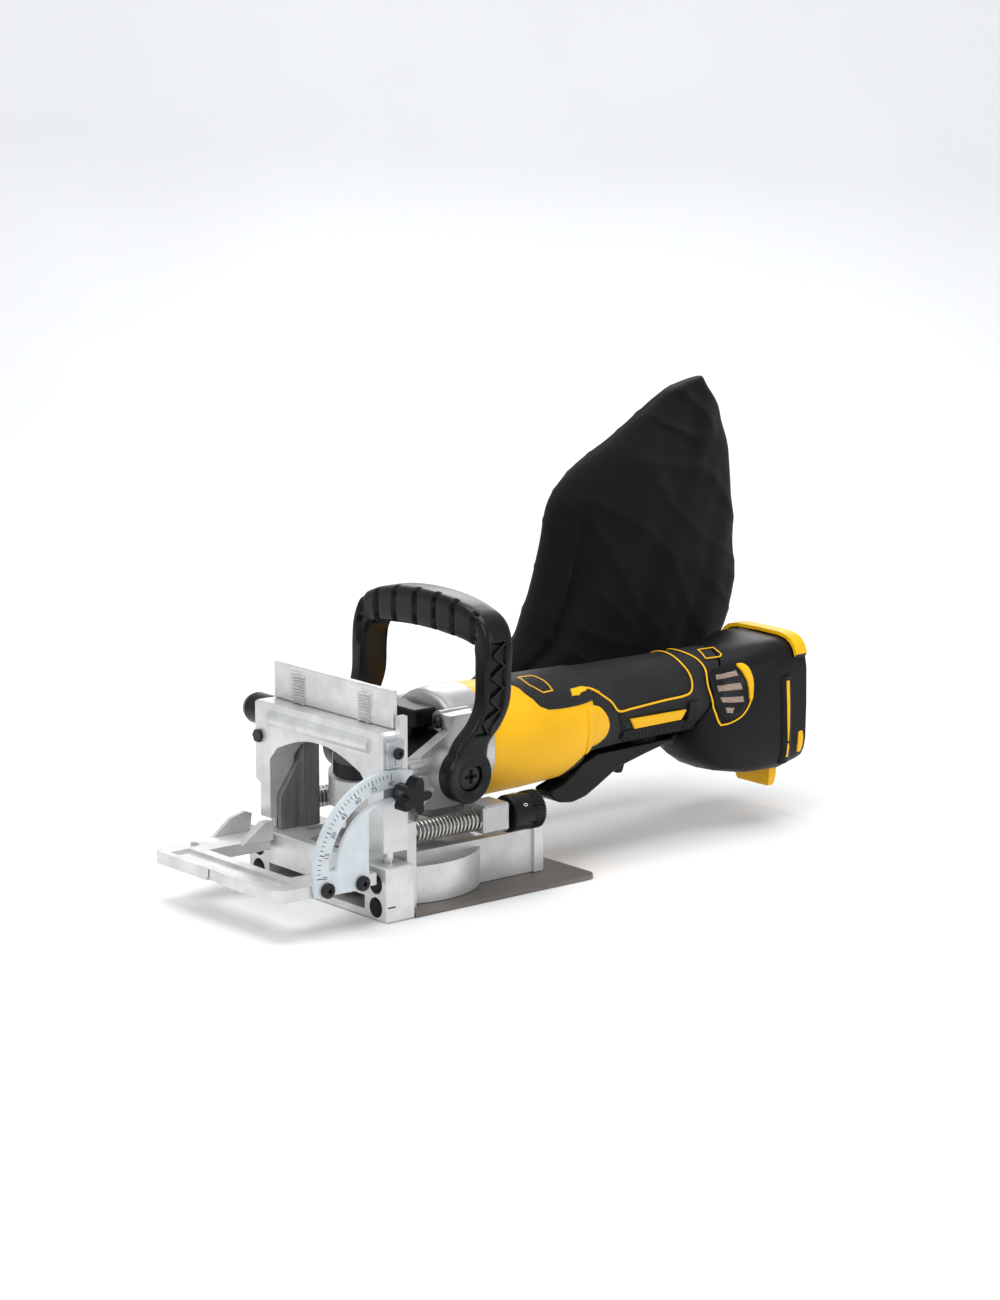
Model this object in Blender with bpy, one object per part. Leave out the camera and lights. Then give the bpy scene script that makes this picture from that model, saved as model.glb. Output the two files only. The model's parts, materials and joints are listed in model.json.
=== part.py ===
"""Cordless biscuit joiner, as an assembly of separate pieces.

Sizes are in millimetres and become metres when a mesh is made.  The origin is on the underside
of the base, below the blade's axis at rest.  The tool cuts towards -Y, +Z is up, and +X is the
operator's left.
"""

import bmesh
import bpy
from math import atan2, cos, pi, radians, sin
from mathutils import Vector

MM = 0.001
GAP = 0.3

# Blade and base
BLADE_R, BLADE_Z, BLADE_HALF_THICK, BLADE_TEETH = 51.0, 10.0, 1.5, 6
FACE_Y = -54.0
BLOCK_HALF_X, BLOCK_REAR_Y, BLOCK_TOP = 75.0, -31.0, 36.0
PLATE_TOP, PLATE_REAR_Y = 3.0, 123.0
CASTING_BOTTOM = PLATE_TOP + GAP
SLOT_HALF_X, SLOT_LOW, SLOT_HIGH = 52.0, 5.5, 14.5
BULGE_R, BULGE_Y, BULGE_TOP = 62.0, 4.0, 28.0
RAIL_IN, RAIL_OUT, RAIL_TOP, RAIL_REAR_Y = 36.0, 44.0, 33.0, 94.0
PAD_X, PAD_R, PAD_HEIGHTS = 63.5, 6.2, (8.5, 24.0)

# Plunge rods, springs and yoke
ROD_X, ROD_Z, ROD_R, ROD_REAR_Y = 58.0, 51.0, 4.0, 56.5
PLUNGE_TRAVEL = 20.0
SPRING_R, SPRING_WIRE, SPRING_TURNS = 6.6, 0.8, 15
SPRING_FRONT_Y, SPRING_REAR_Y = -22.7, 32.7
YOKE_FRONT_Y, YOKE_REAR_Y, YOKE_LOW, YOKE_TOP = 33.0, 55.0, 42.0, 57.7

# Height carriage
CARRIAGE_FRONT_Y, CARRIAGE_REAR_Y, CARRIAGE_HALF_X = -51.5, -32.0, 69.0
CARRIAGE_LOW, CARRIAGE_TOP, LEG_IN = 44.0, 122.0, 53.0
POST_X, POST_Y, POST_R, POST_TOP = 61.0, -41.5, 3.5, 92.0
PINION_Y, PINION_Z, PINION_TEETH = -36.9, 111.0, 12
RACK_FACE_Y, RACK_FLANGE_Y, RACK_LOW, RACK_TOP = -29.5, -16.5, 97.0, 141.0

# Tilting fence
PIVOT_Y, PIVOT_Z = -48.0, 37.5
FENCE_HALF_X, FENCE_FRONT_Y, FENCE_REAR_Y = 69.2, -134.5, -57.5
FENCE_LOW, FENCE_TOP = 25.3, 33.3
HEX_BOLT_X, HEX_BOLT_Z = -64.5, 98.0
WINDOW_HALF_X, WINDOW_FRONT_Y = 45.0, -107.0
ARC_R, ARC_IN_X, ARC_OUT_X = 61.0, 69.5, 72.5
SLOT_R, SLOT_HALF = 46.4, 3.2
SCALE_SCREWS_Y, SCALE_SCREW_Z = (-99.0, -71.5), 29.4
TILT_BOLT_Y, TILT_BOLT_Z = -41.0, 83.4

# Motor unit
MOTOR_Z = 89.0
CASE_TOP_SLOPE = 0.262
MOTOR_FRONT_Y, MOTOR_REAR_Y = 64.0, 158.0
HANDLE_PIVOT_Y, HANDLE_PIVOT_Z, HANDLE_EYE_R = 20.0, 83.5, 18.0
HANDLE_SECTION = ((1, 0.55), (0.6, 1), (-0.6, 1), (-1, 0.55), (-1, -0.55), (-0.6, -1), (0.6, -1), (1, -0.55))
PADDLE_PIVOT_Y, PADDLE_PIVOT_Z = 252.0, 66.0
BAG_X = -78.0

COLOURS = {
    "cast_aluminium": ((0.62, 0.63, 0.64), 0.45, 0.9),
    "steel": ((0.55, 0.55, 0.56), 0.3, 1.0),
    "dark_steel": ((0.22, 0.19, 0.17), 0.45, 0.9),
    "yellow_plastic": ((0.95, 0.48, 0.01), 0.4, 0.0),
    "black_plastic": ((0.02, 0.02, 0.022), 0.4, 0.0),
    "rubber": ((0.035, 0.035, 0.038), 0.75, 0.0),
    "scale_white": ((0.75, 0.79, 0.82), 0.4, 0.2),
    "clear_plastic": ((0.85, 0.88, 0.9), 0.1, 0.0),
    "copper": ((0.72, 0.36, 0.2), 0.35, 1.0),
    "fabric": ((0.01, 0.01, 0.011), 0.95, 0.0),
}
MATERIALS = {}
BODIES = {}


# ---------------------------------------------------------------- scene helpers

def clear_scene():
    for thing in list(bpy.data.objects):
        bpy.data.objects.remove(thing, do_unlink=True)


def material(name):
    if name not in MATERIALS:
        colour, roughness, metallic = COLOURS[name]
        made = bpy.data.materials.new(name)
        made.use_nodes = True
        shader = made.node_tree.nodes["Principled BSDF"]
        shader.inputs["Base Color"].default_value = (*colour, 1.0)
        shader.inputs["Roughness"].default_value = roughness
        shader.inputs["Metallic"].default_value = metallic
        made.diffuse_color = (*colour, 1.0)
        MATERIALS[name] = made
    return MATERIALS[name]


def body(name, x, y, z, parent=None):
    """An empty on the joint's axis, which the body's pieces are parented to."""
    empty = bpy.data.objects.new("body_" + name, None)
    bpy.context.scene.collection.objects.link(empty)
    place = Vector((x, y, z)) * MM
    if parent:
        empty.parent = BODIES[parent][0]
        empty.location = place - BODIES[parent][1]
    else:
        empty.location = place
    BODIES[name] = (empty, place)


def piece(name, shape, finish, owner, smooth=35):
    """Turn a bmesh in millimetres into a named object that hangs on its body's empty."""
    empty, place = BODIES[owner]
    bmesh.ops.recalc_face_normals(shape, faces=shape.faces)
    bmesh.ops.scale(shape, vec=(MM, MM, MM), verts=shape.verts)
    bmesh.ops.translate(shape, vec=-place, verts=shape.verts)
    mesh = bpy.data.meshes.new(name)
    shape.to_mesh(mesh)
    shape.free()
    mesh.shade_smooth()
    mesh.set_sharp_from_angle(angle=radians(smooth))
    mesh.materials.append(material(finish))
    made = bpy.data.objects.new(name, mesh)
    made.parent = empty
    bpy.context.scene.collection.objects.link(made)
    return made


def tool(shape):
    """A hidden shape that a Boolean modifier uses."""
    made = piece("tool", shape, "steel", "base")
    made.hide_render = True
    made.display_type = "WIRE"
    return made


def weld(target, *shapes):
    for shape in shapes:
        joined = target.modifiers.new("weld", "BOOLEAN")
        joined.operation = "UNION"
        joined.object = tool(shape)


def cut(target, *shapes):
    for shape in shapes:
        hollow = target.modifiers.new("cut", "BOOLEAN")
        hollow.operation = "DIFFERENCE"
        hollow.object = tool(shape)


# ---------------------------------------------------------------- shape helpers

def circle(cx, cy, r, sides=20, start=0.0):
    return [(cx + r * cos(start + 2 * pi * i / sides), cy + r * sin(start + 2 * pi * i / sides))
            for i in range(sides)]


def arc(cx, cy, r, from_deg, to_deg, steps):
    """Points on an arc about (cx, cy); 0 degrees is the first axis."""
    turns = [radians(from_deg + (to_deg - from_deg) * i / steps) for i in range(steps + 1)]
    return [(cx + r * cos(turn), cy + r * sin(turn)) for turn in turns]


def on_axis(axis, along, u, v):
    """A point from its place along an axis and its other two coordinates, in XYZ order."""
    if axis == "X":
        return (along, u, v)
    if axis == "Y":
        return (u, along, v)
    return (u, v, along)


def loft(rings, open_end=False):
    """A skin through rings of equal length; its first and last rings are capped."""
    shape = bmesh.new()
    rows = [[shape.verts.new(point) for point in ring] for ring in rings]
    for low, high in zip(rows, rows[1:]):
        for i in range(len(low)):
            j = (i + 1) % len(low)
            shape.faces.new((low[i], low[j], high[j], high[i]))
    if not open_end:
        shape.faces.new(rows[0])
        shape.faces.new(rows[-1])
    return shape


def prism(axis, outline, low, high, bevel=0.0):
    shape = loft([[on_axis(axis, at, u, v) for u, v in outline] for at in (low, high)])
    if bevel:
        bmesh.ops.recalc_face_normals(shape, faces=shape.faces)
        bmesh.ops.bevel(shape, geom=shape.edges[:], offset=bevel, segments=1, affect="EDGES")
    return shape


def block(x0, x1, y0, y1, z0, z1, bevel=0.0):
    x0, x1 = min(x0, x1), max(x0, x1)
    return prism("Z", [(x0, y0), (x1, y0), (x1, y1), (x0, y1)], z0, z1, bevel)


def rod(axis, u, v, r, low, high, sides=20):
    return prism(axis, circle(u, v, r, sides), low, high)


def turned(axis, u, v, profile, sides=20):
    """A profile of (radius, along) pairs turned about an axis; its ends are capped."""
    return loft([[on_axis(axis, along, a, b) for a, b in circle(u, v, r, sides)]
                 for r, along in profile])


def ring_solid(axis, u, v, r_in, r_out, low, high, sides=20):
    """A plain ring, such as a bearing or a washer."""
    corners = [(r_in, low), (r_out, low), (r_out, high), (r_in, high), (r_in, low)]
    shape = bmesh.new()
    rows = []
    for r, along in corners[:-1]:
        rows.append([shape.verts.new(on_axis(axis, along, a, b)) for a, b in circle(u, v, r, sides)])
    for one, two in zip(rows, rows[1:] + rows[:1]):
        for i in range(sides):
            j = (i + 1) % sides
            shape.faces.new((one[i], one[j], two[j], two[i]))
    return shape


def toothed(teeth, root, tip, u=0.0, v=0.0, start=0.0, width=0.22):
    """A gear's outline; width is half a tooth's share of its pitch at the tip."""
    points = []
    for i in range(teeth):
        mid = start + 2 * pi * i / teeth
        step = 2 * pi / teeth
        for share, r in ((-0.36, root), (-width, tip), (width, tip), (0.36, root)):
            points.append((u + r * cos(mid + share * step), v + r * sin(mid + share * step)))
    return points


def oval(cx, cy, cz, half_x, half_z, power, sides=24):
    """A superellipse in a plane across Y."""
    points = []
    for i in range(sides):
        turn = 2 * pi * i / sides
        c, s = cos(turn), sin(turn)
        x = half_x * abs(c) ** (2 / power) * (1 if c >= 0 else -1)
        z = half_z * abs(s) ** (2 / power) * (1 if s >= 0 else -1)
        points.append((cx + x, cy, cz + z))
    return points


def slanted_oval(cx, low, high, half_x, power, sides=24):
    """A superellipse whose lowest and highest points are given as (y, z)."""
    points = []
    for x, _, share in oval(0.0, 0.0, 0.0, half_x, 1.0, power, sides):
        at = (share + 1) / 2
        y = low[0] + (high[0] - low[0]) * at
        z = low[1] + (high[1] - low[1]) * at
        points.append((cx + x, y, z))
    return points


def tube(path, r, sides=12, normal=Vector((1, 0, 0))):
    """A round bar along a path that stays in a plane across `normal`."""
    points = [Vector(point) for point in path]
    rings = []
    for i, point in enumerate(points):
        ahead = points[min(i + 1, len(points) - 1)] - points[max(i - 1, 0)]
        side = ahead.normalized().cross(normal)
        rings.append([point + normal * r * cos(2 * pi * k / sides) + side * r * sin(2 * pi * k / sides)
                      for k in range(sides)])
    return loft(rings)


def coil(cx, cz, r, wire, turns, low, high, steps=8, sides=4):
    """A helical spring along Y with cut ends."""
    rings = []
    for i in range(turns * steps + 1):
        turn = 2 * pi * i / steps
        out = Vector((cos(turn), 0, sin(turn)))
        y = low + wire + (high - low - 2 * wire) * i / (turns * steps)
        centre = Vector((cx, y, cz)) + out * r
        ring = []
        for k in range(sides):
            around = 2 * pi * k / sides
            ring.append(centre + out * wire * cos(around) + Vector((0, wire, 0)) * sin(around))
        rings.append(ring)
    return loft(rings)


def shell(target, wall):
    """Give an open skin its wall, inwards."""
    skin = target.modifiers.new("wall", "SOLIDIFY")
    skin.thickness = wall * MM
    skin.offset = -1


def screw(name, axis, u, v, face, head_r, head, shank_r, shank, owner, finish="black_plastic", out=1):
    """A screw whose head stands on `face` and whose shank goes inwards; out is +1 or -1."""
    profile = [(shank_r, face - out * shank), (shank_r, face), (head_r, face),
               (head_r, face + out * head * 0.6), (head_r * 0.7, face + out * head)]
    made = piece(name, turned(axis, u, v, profile, 14), finish, owner)
    recess = turned(axis, u, v, [(1.4, face + out * head * 0.4), (1.4, face + out * (head + 1))], 6)
    cut(made, recess)
    return made


# ---------------------------------------------------------------- base

def base_casting():
    casting = piece("base_casting", block(-BLOCK_HALF_X, BLOCK_HALF_X, FACE_Y, BLOCK_REAR_Y, 0,
                                          BLOCK_TOP, 1.0), "cast_aluminium", "base")
    bulge = arc(0, BULGE_Y, BULGE_R, -50, 230, 34)
    weld(casting, prism("Z", bulge, CASTING_BOTTOM, BULGE_TOP))
    for side in (-1, 1):
        weld(casting,
             block(side * RAIL_IN, side * RAIL_OUT, -33, RAIL_REAR_Y, CASTING_BOTTOM, RAIL_TOP),
             block(side * (RAIL_IN - 2), side * (RAIL_OUT + 2), RAIL_REAR_Y - 2, 100,
                   CASTING_BOTTOM, BLOCK_TOP))
    weld(casting,
         block(49, 66, -34, -23, CASTING_BOTTOM, BLOCK_TOP - 2),
         block(49, 66, -30.5, -23, 30, 60),
         block(-68, -44, -34, -14, CASTING_BOTTOM, BLOCK_TOP),
         block(-90, -50, 8, 40, CASTING_BOTTOM, 31))
    cut(casting,
        rod("Z", 0, 0, 53, SLOT_LOW, SLOT_HIGH, 40),
        block(-SLOT_HALF_X, SLOT_HALF_X, FACE_Y - 6, 0, SLOT_LOW, SLOT_HIGH),
        block(-17, 17, -38, 17, SLOT_HIGH - 1, 31),
        prism("Z", [(-25.5, 26), (25.5, 26), (25.5, -30), (18, -46), (-18, -46), (-25.5, -30)], 29, 40),
        block(-86, -46, 12, 45, 8, 27),
        rod("Y", ROD_X, ROD_Z, ROD_R + 0.4, -35, -20))
    for side in (-1, 1):
        cut(casting, rod("Z", side * POST_X, POST_Y, POST_R + 0.4, 20, 40))
        for height in PAD_HEIGHTS:
            cut(casting, rod("Y", side * PAD_X, height, PAD_R + 0.4, FACE_Y - 5, FACE_Y + 4))


def base_fittings():
    corner = 8
    outline = [(-BLOCK_HALF_X, BLOCK_REAR_Y + GAP), (BLOCK_HALF_X, BLOCK_REAR_Y + GAP)]
    outline += arc(BLOCK_HALF_X - corner, PLATE_REAR_Y - corner, corner, 0, 90, 4)
    outline += arc(-BLOCK_HALF_X + corner, PLATE_REAR_Y - corner, corner, 90, 180, 4)
    piece("base_cover_plate", prism("Z", outline, 0, PLATE_TOP), "dark_steel", "base")
    for side, word in ((1, "left"), (-1, "right")):
        for height, level in zip(PAD_HEIGHTS, ("lower", "upper")):
            pad = turned("Y", side * PAD_X, height,
                         [(PAD_R, FACE_Y + 3.7), (PAD_R, FACE_Y - 0.3), (PAD_R - 1.2, FACE_Y - 0.9)])
            piece(f"face_pad_{word}_{level}", pad, "rubber", "base")
        piece("guide_post_" + word, turned("Z", side * POST_X, POST_Y,
              [(POST_R, 20.3), (POST_R, POST_TOP - 1), (POST_R - 1, POST_TOP)], 16), "steel", "base")
        rod_front = -30.0 if side > 0 else RACK_FACE_Y + 0.5
        piece("plunge_rod_" + word, rod("Y", side * ROD_X, ROD_Z, ROD_R, rod_front, ROD_REAR_Y, 16), "steel",
              "base")
        piece("plunge_spring_" + word, coil(side * ROD_X, ROD_Z, SPRING_R, SPRING_WIRE, SPRING_TURNS,
              SPRING_FRONT_Y, SPRING_REAR_Y), "steel", "base")


def rack_column():
    column = piece("height_rack", block(-66, -46, RACK_FACE_Y, -23.3, BLOCK_TOP + GAP, RACK_TOP),
                   "dark_steel", "base")
    weld(column, block(-49.4, -46, RACK_FACE_Y + 1, RACK_FLANGE_Y, BLOCK_TOP + GAP, RACK_TOP - 1))
    rib = [(RACK_FACE_Y + 1, BLOCK_TOP + GAP), (-46, BLOCK_TOP + GAP), (-46, 59), (-30, 82),
           (RACK_FACE_Y + 1, 82)]
    weld(column, prism("X", rib, -52.4, -48.8))
    pitch = pi
    teeth = [(RACK_FACE_Y + 1, RACK_LOW)]
    count = int((RACK_TOP - RACK_LOW - 2) / pitch)
    first = PINION_Z + pitch / 2 - pitch * 5
    for i in range(count):
        mid = first + i * pitch
        if RACK_LOW + 1 < mid < RACK_TOP - 1:
            teeth += [(RACK_FACE_Y, mid - 0.8), (RACK_FACE_Y - 1.6, mid - 0.35),
                      (RACK_FACE_Y - 1.6, mid + 0.35), (RACK_FACE_Y, mid + 0.8)]
    teeth.append((RACK_FACE_Y + 1, RACK_TOP - 0.5))
    weld(column, prism("X", teeth, -65.5, -53.5))
    cut(column, rod("Y", -ROD_X, ROD_Z, ROD_R + 0.4, -40, -20))


def dust_pieces():
    path = [(-72, 41, 17.5), (-72, 54, 18), (-72, 72, 22), (-72, 88, 33), (-72, 99, 46), (-72, 106, 56)]
    elbow = piece("dust_elbow", tube(path, 13.5, 16), "black_plastic", "base")
    bore = [(-72, 38, 17.5), *path[1:-1], (-72, 108, 59)]
    cut(elbow, tube(bore, 11.5, 16))
    spans = [((87.4, 57.3), (112.6, 37.5), 16, -72), ((101, 78), (131, 52), 18, -73),
             ((122, 95), (180, 58), 22, -75), ((148, 110), (262, 66), 26, BAG_X),
             ((172, 124), (335, 88), 29, BAG_X), ((190, 150), (372, 124), 30, BAG_X),
             ((203, 192), (379, 162), 29, BAG_X), ((212, 224), (378, 206), 27, BAG_X),
             ((232, 243), (375, 246), 23, BAG_X), ((270, 268), (370, 275), 16, BAG_X),
             ((308, 292), (358, 296), 8, BAG_X)]
    rings = [slanted_oval(middle, one, two, thick, 2.0 if i < 2 else 2.3, 16)
             for i, (one, two, thick, middle) in enumerate(spans)]
    skin = loft(rings, open_end=True)
    skin.verts.ensure_lookup_table()
    skin.faces.new(skin.verts[-16:])
    bag = piece("dust_bag", skin, "fabric", "base")
    shell(bag, 1.2)


# ---------------------------------------------------------------- carriage

def height_carriage():
    half, low, top = CARRIAGE_HALF_X, CARRIAGE_LOW, CARRIAGE_TOP
    outline = [(-half + 5, low), (-half + 5, 66), (-half, 69), (-half, top - 2), (-half + 3, top),
               (half - 3, top), (half, top - 2), (half, low), (LEG_IN, low)]
    arch = [(LEG_IN, 84)]
    arch += [(LEG_IN - 3 - 5 * i, 90.5 + 13 * sin(radians(9.4 * i))) for i in range(1, 10)]
    outline += arch + [(-x, z) for x, z in reversed(arch)]
    outline.append((-LEG_IN, low))
    frame = piece("height_carriage", prism("Y", outline, CARRIAGE_FRONT_Y, CARRIAGE_REAR_Y),
                  "cast_aluminium", "carriage")
    bulge = [(CARRIAGE_FRONT_Y + 1, 104.5)] + arc(CARRIAGE_FRONT_Y + 3.9, 111.5, 6.6, 258, 102, 8)
    bulge.append((CARRIAGE_FRONT_Y + 1, 118.5))
    weld(frame, prism("X", bulge, -53, 54), block(64, half, -38, CARRIAGE_REAR_Y, 118, 131))
    cut(frame, rod("X", PINION_Y, PINION_Z, 7.4, -half - 3, -51))
    for side in (-1, 1):
        cut(frame, rod("Z", side * POST_X, POST_Y, POST_R + 0.4, low - 4, 100))
    cut(frame, rod("X", TILT_BOLT_Y, TILT_BOLT_Z, 2.9, half - 3, half + 4))
    cut(frame, rod("Y", -64.5, 98, 2.4, CARRIAGE_FRONT_Y - 4, CARRIAGE_FRONT_Y + 6.5))
    cut(frame, rod("X", -42.5, 108.7, 2.0, half - 6.5, half + 3))


def carriage_fittings():
    plate = piece("upper_face_plate", block(-63.5, 63.5, -40, -35.4, CARRIAGE_TOP + GAP, 147, 0.8),
                  "cast_aluminium", "carriage")
    for side in (-1, 1):
        for i in range(8):
            at = 125.5 + 2.4 * i
            rib = [(side * 38 - 6, at), (side * 38 + 6, at + 1.2), (side * 38 - 6, at + 1.3)]
            weld(plate, prism("Y", rib, -40.6, -39))
    cursor = piece("angle_cursor", block(69.3, 72.6, -50, -37, 99.3, 117, 0.6), "clear_plastic", "carriage")
    cut(cursor, rod("X", -42.5, 108.7, 2.0, 60, 80))
    screw("cursor_screw", "X", -42.5, 108.7, 72.9, 3.8, 2.4, 1.6, 9, "carriage")
    hexagon = piece("carriage_hex_bolt", rod("Y", HEX_BOLT_X, HEX_BOLT_Z, 4.6, CARRIAGE_FRONT_Y - 2.6,
                    CARRIAGE_FRONT_Y - GAP, 6), "black_plastic", "carriage")
    weld(hexagon, rod("Y", -64.5, 98, 2.0, CARRIAGE_FRONT_Y - 1, CARRIAGE_FRONT_Y + 6, 12))
    pinion = piece("height_pinion_shaft",
                   prism("X", toothed(PINION_TEETH, 4.9, 6.5, PINION_Y, PINION_Z, 0.0, 0.16), -65.3, -53.7),
                   "steel", "height_pinion")
    weld(pinion, rod("X", PINION_Y, PINION_Z, 3, -80, -51.6, 16))
    knob = piece("height_knob", turned("X", PINION_Y, PINION_Z,
                 [(9.4, -69.4), (10.6, -71), (10.6, -87), (9, -91), (5, -92)]),
                 "black_plastic", "height_pinion")
    cut(knob, rod("X", PINION_Y, PINION_Z, 3.35, -80.4, -60, 16))


# ---------------------------------------------------------------- fence

def fence_point(r, degrees):
    """A point about the fence's pivot; 0 degrees is forwards and 90 is up."""
    return (PIVOT_Y - r * cos(radians(degrees)), PIVOT_Z + r * sin(radians(degrees)))


def fence():
    x, w = FENCE_HALF_X, WINDOW_HALF_X
    front, rear = FENCE_FRONT_Y, FENCE_REAR_Y
    outline = [(x - 5, front), (x, front + 5), (x, rear), (w, rear), (w, WINDOW_FRONT_Y),
               (-w, WINDOW_FRONT_Y), (-w, rear), (-x, rear), (-x, front + 5), (-x + 5, front)]
    plate = piece("fence_plate", prism("Z", outline, FENCE_LOW, FENCE_TOP), "cast_aluminium", "fence")
    web = [(rear, FENCE_TOP - 1), (rear, 45), (-64, 45), (-82, FENCE_TOP - 1)]
    for side in (-1, 1):
        low, high = sorted((side * 42.0, side * 48.4))
        weld(plate, prism("X", web, low, high))
    cut(plate, block(-8, 8, front - 3, front + 2, FENCE_LOW - 3, FENCE_LOW + 2.5))
    cut(plate, block(-56, 56, front + 5, front + 20, FENCE_TOP - 2.4, FENCE_TOP + 2))
    bolt_meets_y = PIVOT_Y - (HEX_BOLT_Z - PIVOT_Z)
    cut(plate, rod("Z", HEX_BOLT_X, bolt_meets_y, 6.2, FENCE_TOP - 2.5, FENCE_TOP + 2, 24))
    for y in SCALE_SCREWS_Y:
        cut(plate, rod("X", y, SCALE_SCREW_Z, 2.4, 60, 80, 12))
    sector = [fence_point(ARC_R, -11.5 + 118.5 * i / 24) for i in range(25)]
    sector += [fence_point(40.4, 107 - 43 * i / 8) for i in range(9)]
    sector += [(-66, 40), (-65, 25.4)]
    scale = piece("angle_scale_plate", prism("X", sector, ARC_IN_X, ARC_OUT_X), "scale_white", "fence")
    slot = [fence_point(SLOT_R + SLOT_HALF, 4.5 + 98.5 * i / 20) for i in range(21)]
    slot += [fence_point(SLOT_R - SLOT_HALF, 103 - 98.5 * i / 20) for i in range(21)]
    cut(scale, prism("X", slot, ARC_IN_X - 2, ARC_OUT_X + 2))
    for y, word in zip(SCALE_SCREWS_Y, ("front", "rear")):
        cut(scale, rod("X", y, SCALE_SCREW_Z, 2.4, 60, 80, 12))
        screw("scale_screw_" + word, "X", y, SCALE_SCREW_Z, ARC_OUT_X + GAP, 5.0, 3.2, 2.0, 10, "fence")
    wing = [(-86, 25.8), (-86, 33), (-72, 44), (-60, 47), (-55, 45), (-57.5, 25.8)]
    piece("fence_wing_right", prism("X", wing, -ARC_OUT_X, -ARC_IN_X), "cast_aluminium", "fence")


def tilt_knob():
    def lobes(share):
        turns = [2 * pi * i / 40 for i in range(40)]
        sizes = [share * (9.6 + 3.2 * cos(5 * turn)) for turn in turns]
        return [(TILT_BOLT_Y + r * cos(turn), TILT_BOLT_Z + r * sin(turn)) for r, turn in zip(sizes, turns)]

    sections = ((0.9, 79), (1, 80.2), (1, 89.5), (0.88, 91))
    rings = [[(x, y, z) for y, z in lobes(share)] for share, x in sections]
    knob = piece("tilt_lock_knob", loft(rings), "black_plastic", "tilt_knob")
    weld(knob, turned("X", TILT_BOLT_Y, TILT_BOLT_Z, [(2.5, 66.4), (2.5, 73), (6.5, 73), (6.5, 80)], 16))


# ---------------------------------------------------------------- gear case and handle

def slope(y, at_zero):
    return at_zero + CASE_TOP_SLOPE * y


def gear_housing():
    plan = arc(0, 0, 35, 180, 360, 12) + [(41, 12), (42, 45), (-42, 45), (-41, 12)]
    case = piece("gear_housing", prism("Z", plan, 58, 112), "cast_aluminium", "motor_unit")
    over = [(-60, slope(-60, 85.5)), (33.5, slope(33.5, 85.5)), (33.5, 130), (-60, 130)]
    cut(case, prism("X", over, -60, 60))
    weld(case, turned("Y", 0, MOTOR_Z, [(37, 33.6), (38.8, 37), (39.8, 44), (39.8, MOTOR_FRONT_Y)], 28),
         rod("Z", 0, 0, 24, 30, 60, 32))
    for side in (-1, 1):
        rail = [(side * 35, -14), (side * 42, 0), (side * 42, 46), (side * 33.5, 46), (side * 33.5, -14)]
        weld(case, prism("Z", rail, 60, 118))
        weld(case, rod("Y", side * 30, 113, 7, 24, 48, 16))
        low, high = sorted((side * 38.0, side * 55.5))
        weld(case, rod("X", HANDLE_PIVOT_Y, HANDLE_PIVOT_Z, 15, low, high))
    ledge = [(-60, slope(-60, 94.5) - 8), (-20, slope(-20, 90)), (24, 108), (24, 118.5), (60, 119),
             (60, 140), (-60, 140)]
    cut(case, prism("X", ledge, -60, -32), prism("X", ledge, 32, 60))
    cut(case, rod("Z", 0, 0, 23, 60, 120, 32), rod("Z", 0, 0, 16.3, 33.3, 62, 32),
        rod("Z", 0, 0, 8.6, 20, 40), rod("Y", 0, MOTOR_Z, 11.4, 5, 50),
        rod("Y", 0, MOTOR_Z, 35.8, 46, MOTOR_FRONT_Y + 3, 32))
    for side in (-1, 1):
        cut(case, rod("Y", side * 30, 113, 2.6, 15, 34, 12))
        low, high = sorted((side * 46.0, side * 60.0))
        cut(case, rod("X", HANDLE_PIVOT_Y, HANDLE_PIVOT_Z, 3.6, low, high, 16))


def nose_pieces():
    plan = arc(0, 0, 32, 180, 360, 12) + [(33, 10), (33, 32.5), (-33, 32.5), (-33, 10)]
    cover = piece("nose_cover", prism("Z", plan, 60, 125), "black_plastic", "motor_unit")
    under = [(-60, slope(-60, 85.8)), (60, slope(60, 85.8)), (60, 40), (-60, 40)]
    over = [(-60, slope(-60, 95)), (60, slope(60, 95)), (60, 140), (-60, 140)]
    cut(cover, prism("X", under, -60, 60), prism("X", over, -60, 60))
    cut(cover, rod("Z", 0, 0, 17, 60, 84), rod("Y", 0, MOTOR_Z, 8.4, 5, 50),
        block(-9.4, 9.4, 17.6, 30.4, 70, 130))
    for side in (-1, 1):
        cut(cover, rod("Y", side * 30, 113, 7.6, 10, 50, 16))
        word = "left" if side > 0 else "right"
        screw("nose_screw_" + word, "Y", side * 30, 113, 23.6, 4.6, 3.0, 2.2, 9, "motor_unit", out=-1)
    button = piece("spindle_lock_button", block(-20, 20, 12, 31, 107.5, 120, 1.2),
                   "black_plastic", "spindle_lock")
    weld(button, block(-9, 9, 18, 30, 100, 109))


def yoke_and_turret():
    half_in, half_out = 44, 66
    yoke = piece("plunge_yoke",
                 block(-half_out, half_out, YOKE_FRONT_Y, YOKE_REAR_Y, YOKE_LOW, YOKE_TOP, 1.5),
                 "cast_aluminium", "motor_unit")
    for side in (-1, 1):
        weld(yoke, block(side * half_in, side * half_out, YOKE_FRONT_Y, YOKE_REAR_Y, YOKE_LOW, 61, 1.5))
        cut(yoke, rod("Y", side * ROD_X, ROD_Z, ROD_R + 0.4, 20, 70, 16))
    cut(yoke, rod("Y", 0, MOTOR_Z, 40.2, 20, 70, 28))
    profile = [(12, 57), (12.5, 58), (12.5, 81), (11, 83)]
    turret = piece("depth_turret", turned("Y", ROD_X, ROD_Z, profile, 32), "black_plastic", "depth_turret")
    cut(turret, rod("Y", ROD_X, ROD_Z, 5, 50, ROD_REAR_Y + PLUNGE_TRAVEL + 1.5, 16))
    for i in range(6):
        turn = 2 * pi * (i + 0.5) / 6
        cut(turret, rod("Y", ROD_X + 13.6 * cos(turn), ROD_Z + 13.6 * sin(turn), 2.2, 66, 90, 10))


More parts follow.
